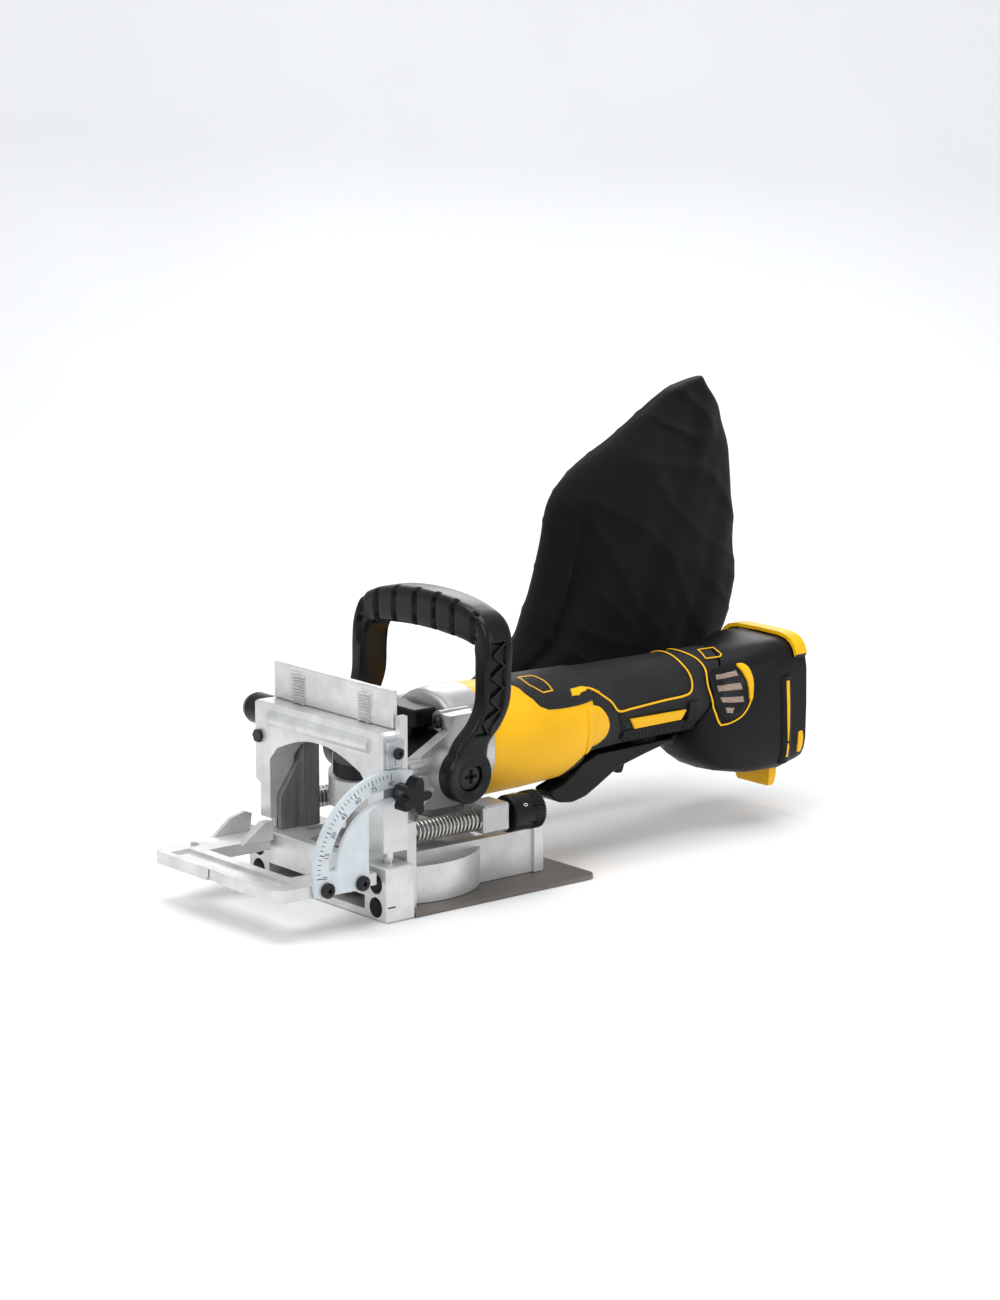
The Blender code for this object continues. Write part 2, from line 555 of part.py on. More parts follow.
def handle_path():
    """Right-hand half of the handle's middle line: (x, y, z, half across, half along Y)."""
    stations = [(62.5, 20, 90, 6.2, 15), (63, 24, 104, 6.2, 12), (64.5, 34, 115, 6.4, 11.5),
                (65.5, 40, 128, 6.6, 11.5), (65.5, 41, 150, 7.0, 11.5), (64.5, 42, 164, 8.6, 11.5),
                (58, 43, 174, 10.6, 11.5), (45, 43, 178.5, 11.8, 11.5), (30, 43, 180.8, 12.6, 11.5),
                (15, 43, 182, 12.9, 11.5), (0, 43, 182.4, 13, 11.5)]
    return stations


def front_handle():
    half = handle_path()
    stations = half + [(-x, y, z, a, b) for x, y, z, a, b in reversed(half[:-1])]
    rings = []
    for i, (x, y, z, across, along) in enumerate(stations):
        before = stations[max(i - 1, 0)]
        after = stations[min(i + 1, len(stations) - 1)]
        turn = atan2(after[2] - before[2], after[0] - before[0])
        if i in (0, len(stations) - 1):
            turn = pi / 2 if i == 0 else -pi / 2
        out = Vector((sin(turn), 0, -cos(turn)))
        ring = []
        for u, v in HANDLE_SECTION:
            ring.append(Vector((x, y, z)) + out * across * u + Vector((0, along * v, 0)))
        rings.append(ring)
    handle = piece("front_handle", loft(rings), "black_plastic", "motor_unit", smooth=50)
    for side, word in ((1, "left"), (-1, "right")):
        low, high = sorted((side * 56.2, side * 68.8))
        weld(handle, rod("X", HANDLE_PIVOT_Y, HANDLE_PIVOT_Z, HANDLE_EYE_R, low, high, 28))
        sink_low, sink_high = sorted((side * 64.0, side * 75.0))
        cut(handle, rod("X", HANDLE_PIVOT_Y, HANDLE_PIVOT_Z, 9.6, sink_low, sink_high))
        hole_low, hole_high = sorted((side * 50.0, side * 66.0))
        cut(handle, rod("X", HANDLE_PIVOT_Y, HANDLE_PIVOT_Z, 3.6, hole_low, hole_high, 16))
        screw("handle_screw_" + word, "X", HANDLE_PIVOT_Y, HANDLE_PIVOT_Z, side * 64.3, 9.2, 4, 3.2, 18,
              "motor_unit", out=side)


# ---------------------------------------------------------------- drive train

def drive_train():
    z = MOTOR_Z
    gear = piece("bevel_gear", loft([[(*p, at) for p in toothed(36, r, r + 1.4)]
                 for r, at in ((18.6, 75), (13.5, 82.3))]), "dark_steel", "arbor")
    cut(gear, rod("Z", 0, 0, 6.3, 60, 95, 20))
    piece("spindle", turned("Z", 0, 0, [(4.6, 5.8), (4.6, 8), (7.6, 13.6), (7.6, 45), (6, 47), (6, 84)]),
          "steel", "arbor")
    blade_outline = []
    for i in range(BLADE_TEETH):
        mid = 2 * pi * i / BLADE_TEETH
        blade_outline += [(BLADE_R * cos(mid), BLADE_R * sin(mid))]
        blade_outline += arc(0, 0, 43, 360 * i / BLADE_TEETH + 3, 360 * (i + 1) / BLADE_TEETH - 14, 4)
        blade_outline += [(BLADE_R * cos(mid + 0.96), BLADE_R * sin(mid + 0.96))]
    blade = piece("blade", prism("Z", blade_outline, BLADE_Z - BLADE_HALF_THICK,
                  BLADE_Z + BLADE_HALF_THICK), "steel", "arbor")
    cut(blade, rod("Z", 0, 0, 7.0, 0, 20))
    piece("blade_flange", ring_solid("Z", 0, 0, 8.0, 15, BLADE_Z + 1.8, 17), "dark_steel", "arbor")
    piece("spindle_bearing", ring_solid("Z", 0, 0, 8.0, 16, 34, 45), "steel", "motor_unit")
    rotor = piece("rotor", turned("Y", 0, z, [(3.6, 27), (3.6, 78), (16, 78), (16, 128), (3.6, 128),
                  (3.6, 148)]), "dark_steel", "rotor")
    weld(rotor, loft([[(u, y, v) for u, v in toothed(12, r, r + 1.0, 0, z, 0.13)]
                      for r, y in ((3.4, 15.5), (4.6, 22), (4.6, 28))]))
    fan = piece("cooling_fan", turned("Y", 0, z, [(30, 55.5), (30, 57), (9, 58), (9, 63)]),
                "black_plastic", "rotor")
    for i in range(7):
        turn = 2 * pi * i / 7
        ends = [(10, turn), (30, turn + 0.35), (30, turn + 0.41), (10, turn + 0.14)]
        weld(fan, prism("Y", [(r * cos(t) * 0.99, z + r * sin(t) * 0.99) for r, t in ends], 56.6, 63))
    cut(fan, rod("Y", 0, z, 3.9, 50, 70, 16))
    piece("motor_bearing_front", ring_solid("Y", 0, z, 3.9, 11, 34, 43), "steel", "motor_unit")
    stator = piece("stator", ring_solid("Y", 0, z, 17, 32, 70, 136, 24), "copper", "motor_unit")
    for i in range(6):
        turn = 2 * pi * i / 6
        cut(stator, rod("Y", 24.5 * cos(turn), z + 24.5 * sin(turn), 3.4, 60, 140, 8))
    piece("motor_bearing_rear", ring_solid("Y", 0, z, 3.9, 9, 139, 147), "steel", "motor_unit")
    bracket = piece("motor_end_bracket", ring_solid("Y", 0, z, 9.3, 30, 140, 146),
                    "black_plastic", "motor_unit")
    for i in range(4):
        turn = 2 * pi * (i + 0.5) / 4
        cut(bracket, rod("Y", 20 * cos(turn), z + 20 * sin(turn), 6, 130, 150, 8))


# ---------------------------------------------------------------- motor housing, grip and foot

def motor_housing():
    rings = [oval(0, MOTOR_FRONT_Y + GAP, MOTOR_Z, 39.6, 39.6, 2.0, 24),
             oval(0, 80, MOTOR_Z, 39, 38.6, 2.0, 24), oval(0, 110, MOTOR_Z, 38, 38.0, 2.05, 24),
             oval(0, 138, MOTOR_Z + 0.6, 36.6, 37, 2.1, 24), oval(0, 150, MOTOR_Z + 2.4, 34.4, 35, 2.1, 24),
             oval(0, MOTOR_REAR_Y, MOTOR_Z + 5.0, 31.5, 32, 2.1, 24)]
    shell(piece("motor_housing", loft(rings, open_end=True), "yellow_plastic", "motor_unit"), 2.4)


def grip_rings():
    return [oval(0, MOTOR_REAR_Y + GAP, 95.2, 31.2, 31.4, 2.1, 24), oval(0, 175, 96.2, 29.4, 29.6, 2.1, 24),
            oval(0, 215, 97, 28.2, 28.6, 2.1, 24), oval(0, 250, 96.8, 28, 28.6, 2.1, 24),
            oval(0, 292, 96.4, 28.2, 28.8, 2.1, 24)]


def grip_shells():
    past_end = [(251.5, 60), (288.8, 130), (330, 130), (330, 60)]
    for side, word in ((1, "left"), (-1, "right")):
        half = piece("grip_shell_" + word, loft(grip_rings(), open_end=True), "rubber", "motor_unit")
        shell(half, 2.4)
        cut(half, block(side * -60, side * 0.15, 150, 300, 50, 140), prism("X", past_end, -50, 50))
        cut(half, block(-9.6, 9.6, 162, 250, 50, 78))


def battery_foot():
    rings = [slanted_oval(0, (256.8, 68), (287.3, 125.2), 28.2, 2.2, 24),
             slanted_oval(0, (257.5, 59), (295, 126), 31, 2.5, 24),
             slanted_oval(0, (264, 48), (305, 127), 35, 3.0, 24),
             slanted_oval(0, (280, 38.5), (316, 128.5), 38, 3.6, 24),
             slanted_oval(0, (305, 34), (326, 129.5), 39, 4.5, 24),
             slanted_oval(0, (331, 33.5), (337, 129.5), 39, 5.0, 24),
             slanted_oval(0, (351, 38), (351, 126), 38, 5.0, 24)]
    foot = piece("battery_foot", loft(rings, open_end=True), "black_plastic", "motor_unit")
    shell(foot, 2.6)
    cut(foot, block(-22, 22, 303, 346, 20, 45))
    rails = piece("battery_rail_plate", block(-31, 31, 336, 340, 46, 117), "black_plastic", "motor_unit")
    for side in (-1, 1):
        weld(rails, block(side * 26, side * 31, 339, 349, 48, 114))
    plug = [(316, 62), (316, 27), (319, 23), (338, 23), (340, 25), (340, 33), (335.5, 34), (335.5, 62)]
    piece("battery_terminal_block", prism("X", plug, -13, 13), "yellow_plastic", "motor_unit")
    inner = [(x, z + 0.6) for x, _, z in slanted_oval(0, (0, 33.5), (0, 129.5), 39.6, 5.0, 28)[2:13]]
    outer = [(x * 1.045, z + 2.6) for x, z in inner]
    piece("foot_top_trim", prism("Y", outer + list(reversed(inner)), 338.5, 349),
          "yellow_plastic", "motor_unit")
    piece("switch_module", block(-14, 14, 176, 214, 84, 112, 1.0), "black_plastic", "motor_unit")


def paddle_pieces():
    lower = [(248, 63), (225, 58), (200, 52), (180, 41), (170, 36), (158, 33.5), (147, 35), (139, 39)]
    upper = [(138, 44.5), (150, 48.5), (160, 54.5), (166, 59.5), (180, 65), (250, 66.4)]
    paddle = piece("paddle_switch", prism("X", lower + upper, -9, 9, 1.2), "black_plastic", "paddle")
    weld(paddle, rod("X", PADDLE_PIVOT_Y, PADDLE_PIVOT_Z - 1.6, 3.4, -8.6, 8.6, 14))
    cut(paddle, block(-4, 4, 196, 216, 40, 80))
    lever = [(199, 64.5), (212, 64.5), (212, 58), (207, 46.5), (203, 46.5), (199, 56)]
    piece("lock_off_lever", prism("X", lever, -3.6, 3.6), "black_plastic", "lock_off")


def build():
    clear_scene()
    body("base", 0, 0, 0)
    body("motor_unit", 0, 0, 0)
    body("carriage", 0, 0, 0)
    body("height_pinion", -60, PINION_Y, PINION_Z, "carriage")
    body("fence", 0, PIVOT_Y, PIVOT_Z, "carriage")
    body("tilt_knob", 80, TILT_BOLT_Y, TILT_BOLT_Z, "carriage")
    body("arbor", 0, 0, 0, "motor_unit")
    body("rotor", 0, 100, MOTOR_Z, "motor_unit")
    body("depth_turret", ROD_X, 70, ROD_Z, "motor_unit")
    body("spindle_lock", 0, 24, 110, "motor_unit")
    body("paddle", 0, PADDLE_PIVOT_Y, PADDLE_PIVOT_Z, "motor_unit")
    body("lock_off", 0, 205.5, 63.5, "paddle")
    for make in (base_casting, base_fittings, rack_column, dust_pieces, height_carriage, carriage_fittings,
                 fence, tilt_knob, gear_housing, nose_pieces, yoke_and_turret, front_handle, drive_train,
                 motor_housing, grip_shells, battery_foot, paddle_pieces):
        make()


build()
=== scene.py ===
"""Looks for the cordless biscuit joiner: materials, trim, markings, springs and the cloth bag."""

import json
from math import cos, exp, pi, radians, sin

import bmesh
import bpy
from mathutils import Matrix, Vector, noise
from mathutils.bvhtree import BVHTree
from mathutils.geometry import delaunay_2d_cdt

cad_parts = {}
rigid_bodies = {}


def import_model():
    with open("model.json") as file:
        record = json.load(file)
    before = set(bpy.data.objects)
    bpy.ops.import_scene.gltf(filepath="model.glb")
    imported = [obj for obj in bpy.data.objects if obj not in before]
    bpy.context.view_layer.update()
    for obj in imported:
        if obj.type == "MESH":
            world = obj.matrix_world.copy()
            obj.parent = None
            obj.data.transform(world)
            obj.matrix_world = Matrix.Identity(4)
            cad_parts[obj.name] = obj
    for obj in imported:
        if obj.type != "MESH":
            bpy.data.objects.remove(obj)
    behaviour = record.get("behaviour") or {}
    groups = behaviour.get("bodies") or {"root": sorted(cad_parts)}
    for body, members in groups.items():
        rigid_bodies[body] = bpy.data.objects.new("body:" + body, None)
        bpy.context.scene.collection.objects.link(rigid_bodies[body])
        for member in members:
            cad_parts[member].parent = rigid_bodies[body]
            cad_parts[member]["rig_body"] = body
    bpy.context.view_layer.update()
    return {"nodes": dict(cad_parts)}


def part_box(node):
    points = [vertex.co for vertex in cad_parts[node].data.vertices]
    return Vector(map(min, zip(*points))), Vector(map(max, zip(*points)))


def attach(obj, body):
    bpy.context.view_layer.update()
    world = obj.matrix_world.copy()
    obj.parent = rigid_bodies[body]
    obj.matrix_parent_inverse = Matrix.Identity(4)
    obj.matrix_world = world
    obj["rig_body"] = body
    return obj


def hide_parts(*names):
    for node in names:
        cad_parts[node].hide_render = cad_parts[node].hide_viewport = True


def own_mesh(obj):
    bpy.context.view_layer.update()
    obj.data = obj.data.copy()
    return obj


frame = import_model()
NODES = frame["nodes"]

MM = 0.001
GRIP_AXIS_Z = 96 * MM
EDGE_ROUNDING = 0.6 * MM


# ---------------------------------------------------------------- materials

class Graph:
    """Short calls for building one material's node tree."""

    def __init__(self, name):
        self.material = bpy.data.materials.new(name)
        self.material.use_nodes = True
        self.tree = self.material.node_tree
        self.shader = self.tree.nodes["Principled BSDF"]
        coords = self.tree.nodes.new("ShaderNodeTexCoord")
        self.place = coords.outputs["Object"]

    def put(self, socket, value):
        if isinstance(value, bpy.types.NodeSocket):
            self.tree.links.new(value, socket)
        else:
            socket.default_value = value

    def stretched(self, scale):
        node = self.tree.nodes.new("ShaderNodeMapping")
        self.put(node.inputs["Vector"], self.place)
        node.inputs["Scale"].default_value = scale
        return node.outputs["Vector"]

    def noise(self, scale, detail=3.0, vector=None, rough=0.55):
        node = self.tree.nodes.new("ShaderNodeTexNoise")
        self.put(node.inputs["Vector"], vector or self.place)
        node.inputs["Scale"].default_value = scale
        node.inputs["Detail"].default_value = detail
        node.inputs["Roughness"].default_value = rough
        return node.outputs["Fac"]

    def voronoi(self, scale):
        node = self.tree.nodes.new("ShaderNodeTexVoronoi")
        self.put(node.inputs["Vector"], self.place)
        node.inputs["Scale"].default_value = scale
        return node.outputs["Distance"]

    def wave(self, scale, distortion, direction):
        node = self.tree.nodes.new("ShaderNodeTexWave")
        node.bands_direction = direction
        self.put(node.inputs["Vector"], self.place)
        node.inputs["Scale"].default_value = scale
        node.inputs["Distortion"].default_value = distortion
        return node.outputs["Fac"]

    def math(self, operation, a, b):
        node = self.tree.nodes.new("ShaderNodeMath")
        node.operation = operation
        self.put(node.inputs[0], a)
        self.put(node.inputs[1], b)
        return node.outputs[0]

    def ramp(self, value, stops):
        node = self.tree.nodes.new("ShaderNodeValToRGB")
        self.put(node.inputs["Fac"], value)
        points = node.color_ramp.elements
        while len(points) < len(stops):
            points.new(0.5)
        for point, (at, colour) in zip(points, stops):
            point.position = at
            point.color = (*colour, 1.0)
        return node.outputs["Color"]

    def level(self, name, value):
        """A number that is the same all over, on the shader's own socket."""
        self.shader.inputs[name].default_value = value

    def colour(self, value, stops):
        self.put(self.shader.inputs["Base Color"], self.ramp(value, stops))

    def roughness(self, value, low, high):
        self.put(self.shader.inputs["Roughness"], self.span(value, low, high))

    def span(self, value, low, high):
        node = self.tree.nodes.new("ShaderNodeMapRange")
        self.put(node.inputs["Value"], value)
        node.inputs["To Min"].default_value = low
        node.inputs["To Max"].default_value = high
        return node.outputs["Result"]

    def bump(self, height, strength, distance):
        """A fine relief, over edges that look slightly rounded."""
        rounded = self.tree.nodes.new("ShaderNodeBevel")
        rounded.samples = 4
        rounded.inputs["Radius"].default_value = EDGE_ROUNDING
        node = self.tree.nodes.new("ShaderNodeBump")
        self.put(node.inputs["Normal"], rounded.outputs["Normal"])
        self.put(node.inputs["Height"], height)
        node.inputs["Strength"].default_value = strength
        node.inputs["Distance"].default_value = distance
        self.put(self.shader.inputs["Normal"], node.outputs["Normal"])


def cast_metal(name, light, dark, metallic=0.55, rough=(0.34, 0.52)):
    """Die casting: slightly mottled, with a fine sandy grain."""
    g = Graph(name)
    mottle = g.noise(38, 5.0)
    grain = g.noise(1500, 2.0)
    middle = tuple((a + b) / 2 for a, b in zip(light, dark))
    g.colour(g.math("ADD", g.math("MULTIPLY", mottle, 0.75), g.math("MULTIPLY", grain, 0.25)),
             [(0.3, dark), (0.5, middle), (0.68, light)])
    g.level("Metallic", metallic)
    g.roughness(g.noise(160, 4.0), *rough)
    g.bump(g.math("ADD", g.noise(900, 3.0), g.math("MULTIPLY", g.noise(120, 3.0), 0.8)), 0.32, 0.0003)
    return g.material


def machined(name, light, dark, stretch, rough, metallic=1.0, relief=0.2):
    """Drawn, ground or rolled metal: fine streaks along one direction."""
    g = Graph(name)
    streak = g.noise(260, 4.0, vector=g.stretched(stretch), rough=0.6)
    blotch = g.noise(24, 4.0)
    mix = g.math("ADD", g.math("MULTIPLY", streak, 0.6), g.math("MULTIPLY", blotch, 0.4))
    g.colour(mix, [(0.32, dark), (0.66, light)])
    g.level("Metallic", metallic)
    g.roughness(streak, *rough)
    g.bump(streak, relief, 0.0002)
    return g.material


def moulded(name, colour, rough, grain_scale, grain, tint=0.12, coat=0.0, shine=0.5):
    """Moulded plastic: even colour with slight drift and a spark-eroded grain."""
    g = Graph(name)
    drift = g.noise(30, 3.0)
    scuff = g.noise(210, 6.0, rough=0.7)
    darker = tuple(c * (1 - tint) for c in colour)
    lighter = tuple(min(1.0, c * (1 + tint * 0.7) + 0.002) for c in colour)
    g.colour(drift, [(0.3, darker), (0.5, colour), (0.7, lighter)])
    g.roughness(scuff, *rough)
    g.level("Coat Weight", coat)
    g.level("Coat Roughness", 0.3)
    g.level("Specular IOR Level", shine)
    g.bump(g.math("ADD", g.voronoi(grain_scale), g.noise(grain_scale * 1.7, 2.0)), grain, 0.0002)
    return g.material


def cloth(name):
    """Brushed black cloth: a twill weave under a soft nap."""
    g = Graph(name)
    warp = g.wave(520, 1.5, "Y")
    weft = g.wave(560, 1.5, "Z")
    weave = g.math("MULTIPLY", warp, weft)
    nap = g.noise(420, 5.0, rough=0.7)
    worn = g.noise(16, 4.0)
    tone = g.math("ADD", g.math("MULTIPLY", nap, 0.5), g.math("MULTIPLY", worn, 0.5))
    g.colour(tone, [(0.35, (0.0012, 0.0012, 0.0013)), (0.55, (0.003, 0.0032, 0.0034)),
                    (0.72, (0.0065, 0.0068, 0.007))])
    g.roughness(nap, 0.82, 0.97)
    g.level("Sheen Weight", 0.07)
    g.level("Sheen Roughness", 0.45)
    g.level("Specular IOR Level", 0.2)
    g.bump(g.math("ADD", weave, g.math("MULTIPLY", nap, 0.8)), 0.3, 0.0004)
    return g.material


def clear(name):
    """Clear plastic, slightly scratched."""
    g = Graph(name)
    g.colour(g.noise(90, 3.0), [(0.3, (0.8, 0.83, 0.86)), (0.7, (0.93, 0.95, 0.96))])
    g.roughness(g.noise(700, 3.0), 0.06, 0.2)
    g.level("Transmission Weight", 0.85)
    g.level("IOR", 1.49)
    return g.material


def copper_mesh(name):
    """Woven copper-coloured screen behind the vents."""
    g = Graph(name)
    wires = g.math("MAXIMUM", g.wave(330, 0.0, "Y"), g.wave(330, 0.0, "Z"))
    g.colour(wires, [(0.45, (0.03, 0.02, 0.016)), (0.75, (0.36, 0.25, 0.19)), (0.95, (0.62, 0.47, 0.38))])
    g.level("Metallic", 0.6)
    g.roughness(wires, 0.75, 0.4)
    g.bump(wires, 0.6, 0.0004)
    return g.material


def windings(name):
    """Rows of enamelled copper wire."""
    g = Graph(name)
    coils = g.wave(300, 2.0, "Y")
    g.colour(coils, [(0.3, (0.2, 0.07, 0.03)), (0.8, (0.62, 0.3, 0.14))])
    g.level("Metallic", 0.8)
    g.roughness(coils, 0.5, 0.3)
    g.bump(coils, 0.5, 0.0003)
    return g.material


MATERIALS = {
    "casting": cast_metal("casting_satin", (0.77, 0.77, 0.76), (0.5, 0.5, 0.49), 0.58, (0.3, 0.46)),
    "case_casting": cast_metal("case_casting", (0.62, 0.62, 0.61), (0.38, 0.38, 0.37), 0.65, (0.26, 0.42)),
    "steel": machined("bright_steel", (0.72, 0.71, 0.69), (0.5, 0.49, 0.47), (1, 0.05, 1), (0.16, 0.32)),
    "spring_steel": machined("spring_steel", (0.6, 0.58, 0.55), (0.42, 0.4, 0.37), (1, 1, 1), (0.16, 0.26),
                             relief=0.03),
    "plate_steel": machined("plate_steel", (0.24, 0.215, 0.195), (0.15, 0.132, 0.12), (1, 0.06, 1),
                            (0.36, 0.52), metallic=0.85),
    "rack_steel": machined("rack_steel", (0.36, 0.355, 0.345), (0.2, 0.2, 0.195), (1, 1, 0.06),
                           (0.34, 0.5), metallic=0.8),
    "scale": machined("scale_plate", (0.64, 0.69, 0.71), (0.54, 0.59, 0.61), (1, 0.5, 0.5), (0.3, 0.42),
                      metallic=0.25, relief=0.08),
    "black": moulded("black_moulding", (0.0035, 0.0035, 0.0042), (0.24, 0.36), 900, 0.03,
                      tint=0.2, shine=0.24),
    "black_satin": moulded("black_satin", (0.0045, 0.0045, 0.005), (0.36, 0.5), 1300, 0.1,
                            tint=0.2, shine=0.2),
    "overmould": moulded("soft_overmould", (0.0125, 0.0125, 0.0135), (0.5, 0.64), 1900, 0.3, tint=0.18,
                          shine=0.28),
    "yellow": moulded("yellow_moulding", (0.95, 0.5, 0.004), (0.34, 0.46), 1500, 0.12, tint=0.05,
                       coat=0.04, shine=0.22),
    "screw": machined("black_screw", (0.03, 0.03, 0.031), (0.012, 0.012, 0.013), (1, 1, 1), (0.26, 0.4),
                      metallic=0.6),
    "rubber": moulded("rubber_pad", (0.008, 0.008, 0.008), (0.55, 0.75), 1100, 0.4, tint=0.3, shine=0.2),
    # Painted shade: near-black and rough, for the shadowed hollows of the screw crosses.
    "recess": moulded("painted_recess_shade", (0.0025, 0.0025, 0.0025), (0.6, 0.8), 900, 0.05, tint=0.2, shine=0.1),
    "cloth": cloth("bag_cloth"),
    "clear": clear("clear_cursor"),
    "mesh": copper_mesh("vent_mesh"),
    "windings": windings("stator_copper"),
    "ink": moulded("black_ink", (0.012, 0.012, 0.014), (0.5, 0.7), 900, 0.05, tint=0.2),
    "white_ink": moulded("white_ink", (0.75, 0.76, 0.77), (0.5, 0.65), 900, 0.05, tint=0.05),
    "red_ink": moulded("red_ink", (0.12, 0.025, 0.018), (0.5, 0.7), 900, 0.05, tint=0.2),
}

FINISHES = {
    "casting": ["base_casting", "height_carriage", "upper_face_plate", "fence_plate", "fence_wing_right"],
    "case_casting": ["gear_housing", "plunge_yoke"],
    "plate_steel": ["base_cover_plate", "bevel_gear", "blade_flange", "rotor"],
    "rack_steel": ["height_rack", "plunge_rod_left", "plunge_rod_right"],
    "scale": ["angle_scale_plate"],
    "steel": ["guide_post_left", "guide_post_right", "height_pinion_shaft",
              "spindle", "blade", "spindle_bearing", "motor_bearing_front", "motor_bearing_rear"],
    "rubber": ["face_pad_left_lower", "face_pad_left_upper", "face_pad_right_lower", "face_pad_right_upper"],
    "black": ["front_handle", "paddle_switch", "lock_off_lever", "tilt_lock_knob", "spindle_lock_button",
              "depth_turret", "height_knob"],
    "black_satin": ["battery_foot", "dust_elbow", "nose_cover", "cooling_fan", "motor_end_bracket",
                    "battery_rail_plate", "switch_module"],
    "overmould": ["grip_shell_left", "grip_shell_right"],
    "yellow": ["motor_housing", "battery_terminal_block", "foot_top_trim"],
    "clear": ["angle_cursor"],
    "screw": ["cursor_screw", "carriage_hex_bolt", "scale_screw_front", "scale_screw_rear", "nose_screw_left",
              "nose_screw_right", "handle_screw_left", "handle_screw_right"],
    "windings": ["stator"],
}
for finish, names in FINISHES.items():
    for name in names:
        for held in NODES[name].material_slots:
            held.link = "OBJECT"
            held.material = MATERIALS[finish]


# ---------------------------------------------------------------- making pieces

def new_piece(name, bm, finish, body, smooth=35):
    """Turns a bmesh in metres into a piece that rides on a body; edges sharper than smooth stay sharp."""
    bmesh.ops.recalc_face_normals(bm, faces=bm.faces)
    mesh = bpy.data.meshes.new(name)
    bm.to_mesh(mesh)
    bm.free()
    piece = bpy.data.objects.new(name, mesh)
    bpy.context.scene.collection.objects.link(piece)
    mesh.materials.append(MATERIALS[finish])
    for face in mesh.polygons:
        face.use_smooth = True
    mesh.set_sharp_from_angle(angle=radians(smooth))
    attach(piece, body)
    return piece


def loft(bm, rings):
    """Joins rings of points, each with the same count, into a closed skin."""
    rows = [[bm.verts.new(point) for point in ring] for ring in rings]
    for first, second in zip(rows, rows[1:]):
        for i in range(len(first)):
            j = (i + 1) % len(first)
            bm.faces.new((first[i], first[j], second[j], second[i]))
    bm.faces.new(rows[0][::-1])
    bm.faces.new(rows[-1])


def circle(count):
    """Cosine and sine of equal steps round a turn."""
    return [(cos(2 * pi * k / count), sin(2 * pi * k / count)) for k in range(count)]


def turned_about_y(bm, x, z, profile, sides):
    """A turned shape about a line along Y, from (radius, y) steps."""
    loft(bm, [[Vector((x + r * c, y, z + r * s)) * MM for c, s in circle(sides)] for r, y in profile])


def turned_about_x(bm, y, z, profile, sides):
    """A turned shape about a line along X, from (radius, x) steps."""
    loft(bm, [[Vector((x, y + r * c, z + r * s)) * MM for c, s in circle(sides)] for r, x in profile])


def catmull_rom(a, b, c, d, t):
    """The smooth value a share t of the way from b to c."""
    return 0.5 * (b * 2 + (c - a) * t + (a * 2 - b * 5 + c * 4 - d) * t * t
                  + (b * 3 - a - c * 3 + d) * t ** 3)


def blended(rows, share):
    """The smooth row of numbers at a share of the way along a list of rows."""
    at = share * (len(rows) - 1)
    i = min(int(at), len(rows) - 2)
    near = [rows[max(0, min(len(rows) - 1, k))] for k in (i - 1, i, i + 1, i + 2)]
    return [catmull_rom(a, b, c, d, at - i) for a, b, c, d in zip(*near)]


def tube(bm, path, radius, sides=10, squash=1.0, normals=None):
    """A tube along a path; with normals its section is flattened along them."""
    rings = []
    up = None
    for i, at in enumerate(path):
        before, after = path[max(i - 1, 0)], path[min(i + 1, len(path) - 1)]
        along = (after - before).normalized()
        if normals:
            up = normals[i]
        elif up is None:
            up = along.orthogonal()
        up = (up - along * up.dot(along)).normalized()
        across = along.cross(up)
        rings.append([at + across * radius * c + up * radius * squash * s for c, s in circle(sides)])
    loft(bm, rings)


def softened(name, finish):
    """Stands in for a CAD node: the same faces with smooth shading across its curves."""
    node = NODES[name]
    bm = bmesh.new()
    bm.from_mesh(node.data)
    bmesh.ops.remove_doubles(bm, verts=bm.verts, dist=0.000004)
    bmesh.ops.dissolve_limit(bm, angle_limit=radians(0.4), verts=bm.verts, edges=bm.edges)
    made = new_piece("soft_" + name, bm, finish, node["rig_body"], 31)
    weighted = made.modifiers.new("weighted", "WEIGHTED_NORMAL")
    weighted.keep_sharp = True
    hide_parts(name)


def box_mesh(bm, low, high):
    """A box between two corners, for the small marks and recesses."""
    corners = bmesh.ops.create_cube(bm, size=1.0)["verts"]
    for corner in corners:
        corner.co = Vector([(a + b) / 2 + c * (b - a) for a, b, c in zip(low, high, corner.co)])


def smooth_path(points, step):
    """Rounds a list of points with a Catmull-Rom curve, sampled about every step."""
    made = []
    ends = [points[0] * 2 - points[1], *points, points[-1] * 2 - points[-2]]
    for a, b, c, d in zip(ends, ends[1:], ends[2:], ends[3:]):
        count = max(2, int((c - b).length / step))
        for i in range(count):
            made.append(catmull_rom(a, b, c, d, i / count))
    made.append(points[-1])
    return made


class Skin:
    """The outer surface of some CAD nodes, met by rays towards the grip's axis."""

    RAY_START = 90 * MM
    LEAST_RADIUS = 30 * MM
    PROBES_MM = (-1.6, 0.0, 1.6)

    def __init__(self, names):
        points, faces = [], []
        for name in names:
            mesh = NODES[name].data
            base = len(points)
            points += [v.co.copy() for v in mesh.vertices]
            faces += [[base + i for i in face.vertices] for face in mesh.polygons]
        self.tree = BVHTree.FromPolygons(points, faces)

    def at(self, y_mm, turn_deg, lift_mm):
        """The place and outward direction at a distance along the axis and an angle round it."""
        turn = radians(turn_deg)
        out = Vector((cos(turn), 0, sin(turn)))
        reach = self.LEAST_RADIUS
        for shift in self.PROBES_MM:
            start = Vector((0, (y_mm + shift) * MM, GRIP_AXIS_Z)) + out * self.RAY_START
            place, _, _, _ = self.tree.ray_cast(start, -out)
            if place is not None:
                reach = max(reach, self.RAY_START - (place - start).length)
        return Vector((0, y_mm * MM, GRIP_AXIS_Z)) + out * (reach + lift_mm * MM), out


BODY_SKIN = Skin(["motor_housing", "grip_shell_left", "grip_shell_right", "battery_foot"])


MM_PER_DEGREE = 0.55  # along the body's surface, at about its mean radius
PIPING_MM_PER_DEGREE = 0.5


